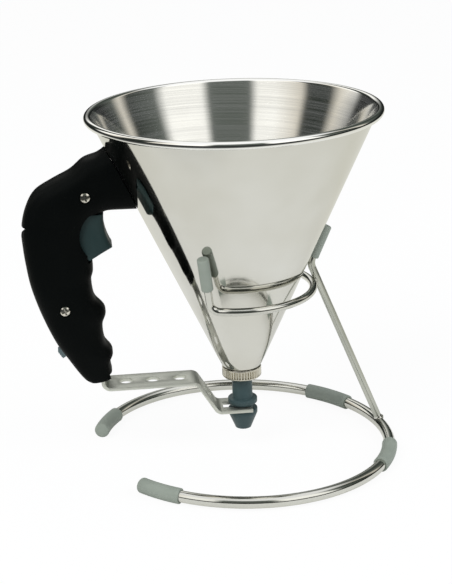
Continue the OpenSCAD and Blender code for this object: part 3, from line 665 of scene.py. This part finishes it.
SCREWS = [(handle_x(-1.5), -37.0), (handle_x(-15), -95.8)]
BUTTON_AT = (handle_x(-17), -121.0)
BUTTON_TILT = math.radians(32)
BUTTON_W = 7.0
BUTTON_H = 4.6
BUTTON_OUT = 2.4
BUTTON_TRAVEL = 5.0
BUTTON_PLACE = Matrix.Translation((BUTTON_AT[0], 0, BUTTON_AT[1])) @ Matrix.Rotation(-BUTTON_TILT, 4, "Y")


def spline(a, b, c, d, t):
    return 0.5 * (2 * b + (c - a) * t + (2 * a - 5 * b + 4 * c - d) * t * t
                  + (3 * b - a - 3 * c + d) * t ** 3)


def grip_item(s, pick):
    """One number of the handle's sections at station s, on a smooth curve through all of them."""
    i, t = divmod(s, STATIONS)
    t /= STATIONS
    row = [pick(GRIP[max(0, min(len(GRIP) - 1, i + k))]) for k in (-1, 0, 1, 2)]
    return spline(*row, t)


def half_section(s, inset, seam):
    """Points of one section round the near side. seam says how far its flat side stands off."""
    back = Vector((handle_x(grip_item(s, lambda g: g[0][0])), -grip_item(s, lambda g: g[0][1])))
    front = Vector((handle_x(grip_item(s, lambda g: g[1][0])), -grip_item(s, lambda g: g[1][1])))
    mid, half = (back + front) / 2, (front - back) / 2
    a, b = half.length - inset, SIDE * grip_item(s, lambda g: g[2]) - inset
    along = half.normalized()
    out = []
    for k in range(HALF_STEPS + 1):
        q = math.pi * k / HALF_STEPS
        c = -math.cos(q)
        p = mid + along * (a * math.copysign(abs(c) ** (2 / ROUNDNESS), c))
        out.append(Vector((p.x, -b * max(0.0, math.sin(q)) ** (2 / ROUNDNESS), p.y)))
    if seam < 0:
        return [Vector((out[0].x, -seam, out[0].z))] + out + [Vector((out[-1].x, -seam, out[-1].z))]
    groove = min(SEAM_GROOVE, a)
    tips, rims = [], []
    for p, sign in ((out[0], 1), (out[-1], -1)):
        tips.append(Vector((p.x + along.x * groove * sign, -seam, p.z + along.y * groove * sign)))
        rims.append(Vector((p.x, -seam - SEAM_HALF, p.z)))
    return [tips[0], rims[0]] + out[1:-1] + [rims[1], tips[1]]


def half_loft(inset, last, seam):
    sections = [half_section(s, inset, seam) for s in range(last + 1)]
    n = len(sections[0])
    verts = [p for sec in sections for p in sec]
    faces = [(i * n + j, i * n + (j + 1) % n, (i + 1) * n + (j + 1) % n, (i + 1) * n + j)
             for i in range(last) for j in range(n)]
    faces += [tuple(range(n)), tuple(range(last * n + n - 1, last * n - 1, -1))]
    return new_mesh("loft", verts, faces)


def clipped_disc(cx, cz, r, top, left=None):
    """Outline of a disc below a level, and right of a line if one is given."""
    out = []
    for x, z in arc(cx, cz, r, 0, 357, 119):
        p = (x if left is None else max(x, left), min(z, top))
        if not out or abs(p[0] - out[-1][0]) + abs(p[1] - out[-1][1]) > 1e-6:
            out.append(p)
    return out


def shell_cutters(near):
    """What is cut out of a half handle: the cone, the notch and well, the lever's way and the slots."""
    reach = math.hypot(PAD_TIP[0] - PIVOT[0], PAD_TIP[1] - PIVOT[1]) + 0.5
    g = SEAT_GAP / math.cos(CONE_ANGLE)
    bottom, strip = -FOOT_V - 1, STRIP_W / 2 + 0.5
    slot_x, slot_z = BACK_SLOT
    cutters = [
        # the cone, the notch for the finger, and the trigger's well and hub
        lathe("cone_space", [(0, -CONE_DEPTH), (FOOT_R + g, -CONE_DEPTH), (CONE_TOP_R + g, 0), (0, 0)], 256),
        prism(clipped_disc(*NOTCH_C, NOTCH_R, NOTCH_TOP), -SIDE - 1, 1),
        prism(clipped_disc(*PIVOT, reach, NOTCH_TOP, PIVOT[0] - 5), -WELL_SIDE, 1.3),
        rod_y(*PIVOT, HUB_R + 0.5, -WELL_SIDE + 0.01, 1.2),
        # the way of the lever's flat and of its leg
        block(LEG_X - 3, LEG_X + 27, -strip, 1.1, bottom, -FOOT_V + VALVE_LIFT - FOOT_GAP + 1.2),
        block(LEG_X - 3.01, LEG_X + 2, -strip - 0.01, 1.4, bottom - 0.1, -LEG_NECK + VALVE_LIFT + 0.6),
        # the slot in the back, and the button's
        block(slot_x - 4, slot_x + SHELL_WALL + 1, -BACK_SLOT_W / 2, 1.5,
              slot_z - BACK_SLOT_H / 2, slot_z + BACK_SLOT_H / 2),
        block(-6, 6, -BUTTON_W / 2 - SEAT_GAP, 1.6, -BUTTON_H / 2 - SEAT_GAP,
              BUTTON_H / 2 + BUTTON_TRAVEL + SEAT_GAP, BUTTON_PLACE),
    ]
    if near:
        for x, z in SCREWS:
            cutters.append(rod_y(x, z, SCREW_HEAD_R + 0.2, -SIDE - 1, -SIDE + 1.4))
            cutters.append(rod_y(x, z, SCREW_R + PIN_GAP, -SIDE - 1.1, 1.05, 32))
    return cutters


def make_shell(name, node, near):
    """One half of the handle, hollow. The far one is a mirror image without screw holes."""
    last = (len(GRIP) - 1) * STATIONS
    hollow = half_loft(SHELL_WALL, last - SOLID_FOOT, -HOLLOW_PAST)
    mesh = combine(half_loft(0, last, SEAM_GAP), [hollow] + shell_cutters(near))
    if not near:
        mesh.transform(Matrix.Scale(-1, 4, Y))
        mesh.flip_normals()
    add_piece(name, mesh, [BLACK], "funnel", FUNNEL, [node], 32)


def make_screws():
    """Two dome-headed screws with a cross recess."""
    r, end = SCREW_HEAD_R, -SIDE - 9.0
    bm = bmesh.new()
    for x, z in SCREWS:
        head = lathe("screw", [
            (0, 0.32), (0.6, 0.30), (1.2, 0.22), (1.7, 0.10), (2.1, -0.08), (r - 0.2, -0.30),
            (r - 0.04, -0.5), (r, -0.65), (r, -1.2), (SCREW_R, -1.2), (SCREW_R, end), (0, end - 0.2)], 64)
        arms = []
        for a in (0, 90):
            arm = block(-1.85, 1.85, -0.45, 0.45, -1.0, 1.0)
            arm.transform(Matrix.Rotation(math.radians(a + 20), 4, "Z"))
            arms.append(arm)
        head = bevelled(combine(head, arms), 0.06, 1, 30)
        head.transform(Matrix.Translation((x, -SIDE + 0.2, z)) @ Matrix.Rotation(math.radians(90), 4, "X"))
        bm.from_mesh(head)
        bpy.data.meshes.remove(head)
    mesh = bpy.data.meshes.new("shell_screws_drawn")
    bm.to_mesh(mesh)
    bm.free()
    add_piece("shell_screws_drawn", mesh, [SCREW], "funnel", FUNNEL, ["shell_screws"], 25)


def pad_outline():
    """Outline of the trigger's pad down its hollow front and round its heel to the pivot."""
    a, b = Vector(PAD_EDGE), Vector(PAD_TIP)
    chord, along = (a + b) / 2, (b - a).normalized()
    out = Vector((-along.y, along.x))
    centre = chord + out * math.sqrt(PAD_CURVE ** 2 - ((b - a).length / 2) ** 2)
    start, end = (math.degrees(math.atan2(p.y - centre.y, p.x - centre.x)) for p in (a, b))
    if end < start - 180:
        end += 360
    if end > start + 180:
        end -= 360
    front = arc(centre.x, centre.y, PAD_CURVE, start, end, 16)
    x, z = PIVOT
    return front + [PAD_HEEL, (x - 2.5, z - 17), (x - 4, z - 9), (x - HUB_R, z), (x, z + 1.6)], len(front)


def make_trigger():
    """Hollow-fronted trigger pad, its hub and the crank that lifts the lever's leg."""
    outline, front = pad_outline()
    rows, half = [], TRIGGER_W / 2
    for k in range(-PAD_ROWS, PAD_ROWS + 1):
        y = math.copysign(min(1.0, abs(k) / PAD_ROWS) ** 0.6 * half, k)
        out = max(0.0, abs(y) - half + PAD_ROUND) / PAD_ROUND
        back = PAD_ROUND * (1 - math.sqrt(max(0.0, 1 - out ** 2)))
        rows.append([(x - back * (i < front), y, z) for i, (x, z) in enumerate(outline)])
    n = len(outline)
    faces = [tuple(range(n)), tuple(range(len(rows) * n - 1, len(rows) * n - n - 1, -1))]
    faces += [(r * n + k, r * n + (k + 1) % n, (r + 1) * n + (k + 1) % n, (r + 1) * n + k)
              for r in range(len(rows) - 1) for k in range(n)]
    mesh = new_mesh("pad", [p for row in rows for p in row], faces)
    crank = block(-CRANK - CRANK_STUB, 0, -CRANK_STUB, CRANK_STUB, -CRANK_T / 2, CRANK_T / 2)
    nose = rod_y(-CRANK - CRANK_STUB, 0, CRANK_T / 2, -CRANK_STUB, CRANK_STUB, 32)
    crank = combine(crank, [nose], "UNION")
    crank.transform(Matrix.Translation((PIVOT[0], 0, PIVOT[1])) @ Matrix.Rotation(-SWING / 2, 4, "Y"))
    mesh = combine(mesh, [rod_y(*PIVOT, HUB_R, -half + 0.02, half - 0.02), crank], "UNION")
    mesh = combine(mesh, [rod_y(*PIVOT, PIN_R + PIN_GAP, -TRIGGER_W, TRIGGER_W, 32)])
    mesh = bevelled(mesh, 0.35, 3, 35)
    add_piece("trigger_drawn", mesh, [TRIGGER], "trigger", FUNNEL, ["trigger"], 30)


def make_spring():
    """Spring between the crank and its seat in the shells, drawn at one length with a mesh of its own. The
    real one shortens as the trigger is pulled.
    """
    steps = 28 * SPRING_TURNS
    path = []
    for k in range(steps + 1):
        q = 2 * math.pi * SPRING_TURNS * k / steps
        path.append(Vector((SPRING_X + SPRING_R * math.cos(q), SPRING_R * math.sin(q),
                            SPRING_LOW + (SPRING_HIGH - SPRING_LOW) * k / steps)))
    mesh = sweep("return_spring_drawn", path, SPRING_WIRE / 2, 12)
    spring = add_piece("return_spring_drawn", mesh, [SPRING], "funnel", FUNNEL,
                       ["return_spring"], 40)
    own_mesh(spring)


def make_button():
    """Slide button with three grip ridges and the flange that keeps it in its slot."""
    w, h = BUTTON_W / 2, BUTTON_H / 2
    body = block(-BUTTON_OUT, SHELL_WALL + 1, -w, w, -h, h)
    parts = [block(-BUTTON_OUT - 0.28, -BUTTON_OUT + 0.4, -w + 0.5, w - 0.5, k * 1.25 - 0.3, k * 1.25 + 0.3)
             for k in (-1, 0, 1)]
    parts.append(block(SHELL_WALL + 0.9, SHELL_WALL + 2.3, -w - 1.5, w + 1.5, -h - 1.5, h + 1.5))
    mesh = bevelled(combine(body, parts, "UNION"), 0.18, 2, 40)
    mesh.transform(BUTTON_PLACE)
    add_piece("slide_button_drawn", mesh, [BUTTON], "button", FUNNEL, ["slide_button"], 30)


# ---------------------------------------------------------------- lever

def strip_outline(path, t):
    """Both faces of a strip of thickness t that follows a path in the x-z plane."""
    sides = []
    for off in (t / 2, -t / 2):
        line = []
        for i, p in enumerate(path):
            before = (p - path[i - 1]).normalized() if i else None
            after = (path[i + 1] - p).normalized() if i < len(path) - 1 else None
            step = before or after
            head = ((before or after) + (after or before)).normalized()
            k = off / head.dot(step)
            line.append((p.x - head.z * k, p.z + head.x * k))
        sides.append(line)
    return sides[0] + sides[1][::-1]


def make_lever():
    """Bent strip: a fork round the nozzle, a diagonal, a perforated flat and a leg up into the handle."""
    mid = STRIP_T / 2
    low, high = Vector((-BEND_IN, 0, -FORK_V - mid)), Vector((-BEND_OUT, 0, -STRIP_V - mid))
    path = rounded([
        Vector((TINE_REACH, 0, -FORK_V - mid)), low, high, Vector((LEG_X, 0, -STRIP_V - mid)),
        Vector((LEG_X, 0, LEG_BEND_LOW)), Vector((LEG_TOP_X, 0, LEG_BEND_HIGH)),
        Vector((LEG_TOP_X, 0, LEG_TOP))], STRIP_BEND, step=9.0)
    mesh = prism(strip_outline(path, STRIP_T), -STRIP_W / 2, STRIP_W / 2)
    crank_v = PIVOT[1] - CRANK * math.tan(SWING / 2)
    half = CRANK_T / 2 / math.cos(SWING / 2)
    cutters = [block(LEG_TOP_X - 3, LEG_X + 2, s * LEG_W / 2, s * (STRIP_W / 2 + 1), -LEG_NECK, LEG_TOP + 2)
               for s in (-1, 1)]
    cutters.append(block(LEG_TOP_X - 3, LEG_TOP_X + 3, -CRANK_STUB - SEAT_GAP, CRANK_STUB + SEAT_GAP,
                         crank_v - half - 2.5, crank_v + half + SEAT_GAP))
    groove = TUBE_R + SEAT_GAP
    under, over = -FORK_V - STRIP_T - 1, -FORK_V + 1
    cutters.append(rod_z(0, 0, groove, under, over))
    cutters.append(block(0, TINE_REACH + 1, -groove, groove, under - 0.1, over + 0.1))
    cutters.append(block(-BEND_IN + 3, 0, -TUBE_R * 0.7, TUBE_R * 0.7, under - 0.2, over + 0.2))
    for i in range(HOLES):
        cutters.append(rod_z(-BEND_OUT - HOLE_FIRST - i * HOLE_PITCH, 0, HOLE_R, -STRIP_V - STRIP_T - 1,
                             -STRIP_V + 1, 48))
    along = (high - low).normalized()
    rod = rod_z(0, 0, HOLE_R, -2 * STRIP_T, 2 * STRIP_T, 48)
    square = Y.cross(along).to_track_quat("Z", "Y").to_matrix().to_4x4()
    rod.transform(Matrix.Translation((low + high) / 2) @ square)
    cutters.append(rod)
    mesh = bevelled(combine(mesh, cutters), 0.22, 2, 45)
    add_piece("lift_lever_drawn", mesh, [STRIP], "lift", FUNNEL, ["lift_lever"], 30)


# ---------------------------------------------------------------- stand

ROUND_END = (0, 15, 30, 45, 60, 75, 90)
BASE_STEPS = 220
END_EDGE = 1.2  # rounding of an end cap's closed end


def ring_angle(length):
    """Degrees that a length along the base ring takes up."""
    return math.degrees(length / BASE_R)


def base_tube(node, loop, start, sign=1):
    """A soft tube round the base ring. loop gives its profile as (distance from start, radius)."""
    places = []
    for s, r in loop:
        a = math.radians(start) + sign * s / BASE_R
        centre = Vector((BASE_R * math.cos(a), BASE_R * math.sin(a), RING_Z))
        places.append((centre, Vector((math.cos(a), math.sin(a), 0)), Z, r))
    add_piece(node + "_drawn", ring_mesh(node, places, 40), [SILICONE], "stand", WORLD, [node],
              50)


def mouth(s, sign):
    """Rounded mouth of a base tube at s. The tube itself lies to the side that sign gives."""
    edge = 0.45
    return [(s, SLEEVE_BORE), (s, SLEEVE_R - edge), (s + sign * edge * 0.3, SLEEVE_R - edge * 0.3),
            (s + sign * edge, SLEEVE_R)]


def tube_wall(length, inner_end):
    """Along the outside of a base tube, round its far mouth and back through its bore."""
    out = [(s, SLEEVE_R) for s in range(2, int(length) - 1)] + mouth(length, -1)[::-1]
    return out + [(s, SLEEVE_BORE) for s in range(int(length) - 2, inner_end, -3)]


def make_base():
    """Open base ring, its two sleeves and its two end caps."""
    wire_end = BASE_GAP / 2 + ring_angle(END_EDGE + SLEEVE_WALL)
    a0, a1 = BASE_MID + wire_end, BASE_MID + 360 - wire_end
    path = [polar(BASE_R, a0 + (a1 - a0) * k / BASE_STEPS, RING_Z) for k in range(BASE_STEPS + 1)]
    add_piece("base_ring_drawn", sweep("base_ring_drawn", path, BASE_WIRE_R, 32), [WIRE], "stand", WORLD,
              ["base_ring"], 40)
    for node, side in (("base_sleeve_near", -1), ("base_sleeve_far", 1)):
        base_tube(node, mouth(0, 1) + tube_wall(SLEEVE_LEN, 1),
                  BASE_TURN + side * SLEEVE_TURN - ring_angle(SLEEVE_LEN) / 2)
    edge, floor = END_EDGE, 2.15
    closed = [(0, 0.0), (0, SLEEVE_R - edge - 0.6)]
    closed += [(edge - edge * math.cos(math.radians(q)), SLEEVE_R - edge + edge * math.sin(math.radians(q)))
               for q in ROUND_END]
    for node, sign in (("base_cap_near", 1), ("base_cap_far", -1)):
        loop = closed + tube_wall(END_CAP_LEN, 3) + [(floor, SLEEVE_BORE), (floor, 0.0)]
        base_tube(node, loop, BASE_MID + sign * BASE_GAP / 2, sign)


PRONG_DIR = [HOLDER_TURN, HOLDER_TURN + PRONG_TURN, HOLDER_TURN - PRONG_TURN]
ELBOW = 6.0
RING_END = PRONG_TURN - math.degrees(math.atan(ELBOW / HOLDER_R))
RING_STEPS = 120


def prong_tip(i):
    return polar(beside(PRONG_TOP), PRONG_DIR[i], -PRONG_TOP)


def corner(s):
    """Where the holder ring's end turns up into its prong, before rounding."""
    return polar(math.hypot(HOLDER_R, ELBOW), HOLDER_TURN + s * PRONG_TURN, -HOLDER_V)


def ring_point(s):
    return polar(HOLDER_R, HOLDER_TURN + s * RING_END, -HOLDER_V)


def post_points():
    """Foot, bend and tip of the post, which leans past the outside of the holder ring."""
    lean = math.atan((HOLDER_R + 2 * WIRE_R - BASE_R) / (RIM_H - RING_Z - HOLDER_V))
    pass_r = HOLDER_R + (2 * WIRE_R - WELD_SINK) / math.cos(lean)
    slope = (BASE_R - pass_r) / (RIM_H - RING_Z - HOLDER_V)
    bend_v = (beside(0) - pass_r + slope * HOLDER_V) / (slope + SLOPE)
    foot = polar(BASE_R, BASE_TURN, RING_Z + BASE_WIRE_R * 0.8)
    return [foot, ON_WORLD @ polar(beside(bend_v), HOLDER_TURN, -bend_v), ON_WORLD @ prong_tip(0)]


def add_weld(name, at, along, r_in, r_out, rise):
    """Fillet of weld metal round a wire where it meets another, slightly uneven."""
    u = along.cross(Vector((0.3, 0.9, 0.2))).normalized()
    v = along.cross(u)
    places = [(at - along * 1.2, u, v, 0.0), (at - along * 1.2, u, v, r_out * 0.9)]
    for k in range(9):
        t = k / 8
        places.append((at + along * (rise * t), u, v, r_in + (r_out - r_in) * (1 - t) ** 1.8))
    places.append((at + along * rise, u, v, 0.0))
    mesh = ring_mesh(name, places, 32)
    for vert in mesh.vertices:
        away = vert.co - at
        across = away - along * away.dot(along)
        if across.length > 1e-4:
            vert.co += across.normalized() * (0.16 * lumps.noise(vert.co * 1.1))
    add_piece(name, mesh, [WIRE], "stand", WORLD, (), 60)


def make_holder_ring():
    """Holder ring whose two ends turn up into prongs."""
    ring = [polar(HOLDER_R, HOLDER_TURN + RING_END * (2 * k / RING_STEPS - 1), -HOLDER_V)
            for k in range(RING_STEPS + 1)]
    path = [prong_tip(2)] + corner_arc(prong_tip(2), corner(-1), ring_point(-1), PRONG_BEND) + ring + \
        corner_arc(ring_point(1), corner(1), prong_tip(1), PRONG_BEND) + [prong_tip(1)]
    clean = [path[0]]
    for p in path[1:]:
        if (p - clean[-1]).length > 0.05:
            clean.append(p)
    add_piece("holder_ring_drawn", sweep("holder_ring_drawn", refined(clean), WIRE_R), [WIRE],
              "stand", FUNNEL, ["holder_ring"], 40)


def make_post():
    """Leaning post, welded to the base ring at its foot and to the holder ring where it passes."""
    foot, bend, tip = post_points()
    path = refined(rounded([foot, bend, tip], WIRE_BEND))
    add_piece("post_wire_drawn", sweep("post_wire_drawn", path, WIRE_R), [POST], "stand", WORLD,
              ["post_wire"], 40)
    up = (bend - foot).normalized()
    add_weld("post_foot_weld", foot - up * 0.2, up, WIRE_R - 0.05, WIRE_R + 0.9, 2.4)
    meet = ON_WORLD @ polar(HOLDER_R + WIRE_R, HOLDER_TURN, -HOLDER_V)
    tangent = Vector((-math.sin(math.radians(HOLDER_TURN)), math.cos(math.radians(HOLDER_TURN)), 0))
    for name, sign in (("ring_weld_near", -1), ("ring_weld_far", 1)):
        add_weld(name, meet, tangent * sign, 0.5, 1.7, 2.6)


def make_prong_caps():
    """Soft caps on the two prongs and on the post's tip."""
    bend, tip = post_points()[1:]
    end, edge, floor = PRONG_CAP_LEN, 0.8, PRONG_CAP_LEN - SLEEVE_WALL + PIN_GAP
    loop = [(CAP_BORE, 0), (CAP_R - 0.4, 0), (CAP_R - 0.12, 0.12), (CAP_R, 0.4)]
    loop += [(CAP_R, s) for s in range(2, 17, 2)]
    loop += [(CAP_R - edge + edge * math.cos(math.radians(q)), end - edge + edge * math.sin(math.radians(q)))
             for q in ROUND_END]
    loop += [(0, end), (0, floor), (CAP_BORE, floor), (CAP_BORE, 9)]
    for node, start, end_at, matrix in (
            ("prong_cap_far", corner(1), prong_tip(1), FUNNEL),
            ("prong_cap_near", corner(-1), prong_tip(2), FUNNEL),
            ("prong_cap_post", bend, tip, WORLD)):
        d = (end_at - start).normalized()
        u = (Z - d * d.dot(Z)).normalized()
        v = d.cross(u)
        at = end_at + d * (SLEEVE_WALL - PRONG_CAP_LEN)
        mesh = ring_mesh(node, [(at + d * s, u, v, r) for r, s in loop], 36)
        add_piece(node + "_drawn", mesh, [SILICONE], "stand", matrix, [node], 50)


# ---------------------------------------------------------------- studio

FLOOR_HALF = 6.0  # lengths of the studio are in metres
SHEET_CENTRE = (0.35, 0.58)
SHEET_SEEN = 2.0  # the distance that the sheet's ramp covers
BRIGHT = (0.745, 0.742, 0.672)
ROOM_DARK = (0.012, 0.014, 0.013)


def make_floor():
    """Pale floor, white to the camera. To metal it is a bright sheet round the object, in a dark room."""
    s = FLOOR_HALF
    mesh = bpy.data.meshes.new("floor")
    mesh.from_pydata([(-s, -s, 0), (s, -s, 0), (s, s, 0), (-s, s, 0)], [], [(0, 1, 2, 3)])
    floor = bpy.data.objects.new("floor", mesh)
    bpy.context.scene.collection.objects.link(floor)
    mat = bpy.data.materials.new("floor_paper")
    tree = Tree(mat)
    paper = tree.add("BsdfDiffuse", {"Color": (0.86, 0.86, 0.85, 1)}).outputs[0]
    white = tree.add("Emission", {"Color": (1, 1, 1, 1)}).outputs[0]
    centre = (-SHEET_CENTRE[0], -SHEET_CENTRE[1], 0)
    far = tree.span(tree.length(tree.place(location=centre)), 0.0, 1.0, 0.0, SHEET_SEEN)
    sheet = tree.ramp(far, [(0.0, BRIGHT), (0.41, BRIGHT), (0.49, (0.022, 0.025, 0.023)), (1.0, ROOM_DARK)])
    reflected = tree.add("Emission", {"Color": sheet}).outputs[0]
    path = tree.add("LightPath").outputs
    seen = tree.shaders(paper, white, tree.product(path["Is Camera Ray"], 0.93))
    # Close to the object the reflections also take in the real paper, with the object's shadow on it.
    share = tree.span(tree.length(tree.place()), 0.5, 0.97, 0.1, 0.3)
    both = tree.shaders(seen, reflected, tree.product(path["Is Glossy Ray"], share))
    tree.add("OutputMaterial", {0: both})
    mesh.materials.append(mat)


DARK = (0.035, 0.042, 0.036)
MID = (0.11, 0.125, 0.11)
WARM = (0.85, 0.80, 0.70)
WHITE = (1.22, 1.21, 1.16)
# What stands round the room, by its direction in degrees: soft boxes and the dark openings between them.
ROOM = [(-180, DARK), (-169, DARK), (-162, WARM), (-138, WHITE), (-121, WHITE), (-113, MID), (-74, MID),
        (-66, WHITE), (-30, WHITE), (-19, MID), (10, DARK), (19, WARM), (29, MID), (60, DARK), (75, MID),
        (104, WHITE), (113, DARK), (131, DARK), (139, WHITE), (158, WARM), (169, DARK)]


def make_world():
    """White to the camera. To metal a room with soft boxes, dark near the floor and white overhead."""
    world = bpy.data.worlds.new("studio")
    bpy.context.scene.world = world
    tree = Tree(world)
    way = tree.add("TexCoord").outputs["Generated"]
    x, y, z = tree.add("SeparateXYZ", {0: way}).outputs
    turn = tree.add("Math", {0: y, 1: x}, operation="ARCTAN2").outputs[0]
    around = tree.span(turn, 0, 1, -math.pi, math.pi)
    sectors = tree.ramp(around, [((direction + 180) / 360, colour) for direction, colour in ROOM])
    above_floor = tree.ramp(z, [(0.0, 0.0), (0.15, 0.0), (0.23, 0.5), (0.31, 1.0)])
    overhead = tree.ramp(z, [(0.0, 0.0), (0.72, 0.0), (0.85, 1.0)])
    lower = tree.colours((*ROOM_DARK, 1), sectors, above_floor)
    room = tree.colours(lower, (1.0, 1.0, 1.0, 1), overhead)
    gloss = tree.add("Background", {"Color": room}).outputs[0]
    plain = tree.add("Background", {"Color": (0.93, 0.95, 1.0, 1), "Strength": 0.75}).outputs[0]
    backdrop = tree.add("Background", {"Color": (1, 1, 1, 1)}).outputs[0]
    path = tree.add("LightPath").outputs
    light = tree.shaders(plain, gloss, path["Is Glossy Ray"])
    tree.add("OutputWorld", {0: tree.shaders(light, backdrop, path["Is Camera Ray"])})


def area_light(name, place, target, size, energy, colour=(1, 1, 1)):
    data = bpy.data.lights.new(name, "AREA")
    data.shape = "RECTANGLE"
    data.size, data.size_y = size
    data.energy = energy
    data.color = colour
    lamp = bpy.data.objects.new(name, data)
    bpy.context.scene.collection.objects.link(lamp)
    lamp.location = place
    lamp.rotation_mode = "QUATERNION"
    lamp.rotation_quaternion = (Vector(target) - Vector(place)).to_track_quat("-Z", "Y")
    lamp.visible_glossy = False


CAMERA_AT = (-0.09016, -0.78768, 0.35333)
CAMERA_TURN, CAMERA_TILT, CAMERA_ROLL = -0.10168, 0.32461, 0.00088  # radians
FOCAL_PX = 1614.54
IMAGE_H = 584
SENSOR = 36.0


def make_camera():
    """The photograph's camera, fitted to the rim, the cone and the base ring."""
    data = bpy.data.cameras.new("camera")
    cam = bpy.data.objects.new("camera", data)
    bpy.context.scene.collection.objects.link(cam)
    turn, tilt, roll = CAMERA_TURN, CAMERA_TILT, CAMERA_ROLL
    look = Vector((-math.sin(turn) * math.cos(tilt), math.cos(turn) * math.cos(tilt), -math.sin(tilt)))
    right = Vector((math.cos(turn), math.sin(turn), 0))
    up = right.cross(look)
    right, up = (right * math.cos(roll) + up * math.sin(roll), up * math.cos(roll) - right * math.sin(roll))
    cam.matrix_world = Matrix.Translation(CAMERA_AT) @ Matrix((right, up, -look)).transposed().to_4x4()
    data.sensor_width = SENSOR
    data.lens = FOCAL_PX / IMAGE_H * SENSOR
    data.clip_start, data.clip_end = 0.01, 50.0
    bpy.context.scene.camera = cam


make_funnel()
make_spout()
make_nut()
make_nozzle()
make_lever()
make_shell("handle_shell_near_drawn", "handle_shell_near", True)
make_shell("handle_shell_far_drawn", "handle_shell_far", False)
make_screws()
make_trigger()
make_spring()
make_button()
make_base()
make_holder_ring()
make_post()
make_prong_caps()

make_camera()
make_floor()
make_world()
area_light("key", (-0.9, -0.9, 1.3), (0, 0, 0.08), (0.9, 0.9), 16)
area_light("fill", (1.2, -0.5, 0.9), (0, 0, 0.08), (1.0, 1.0), 8, (0.95, 0.98, 1.0))

bpy.context.scene.view_settings.view_transform = "Standard"
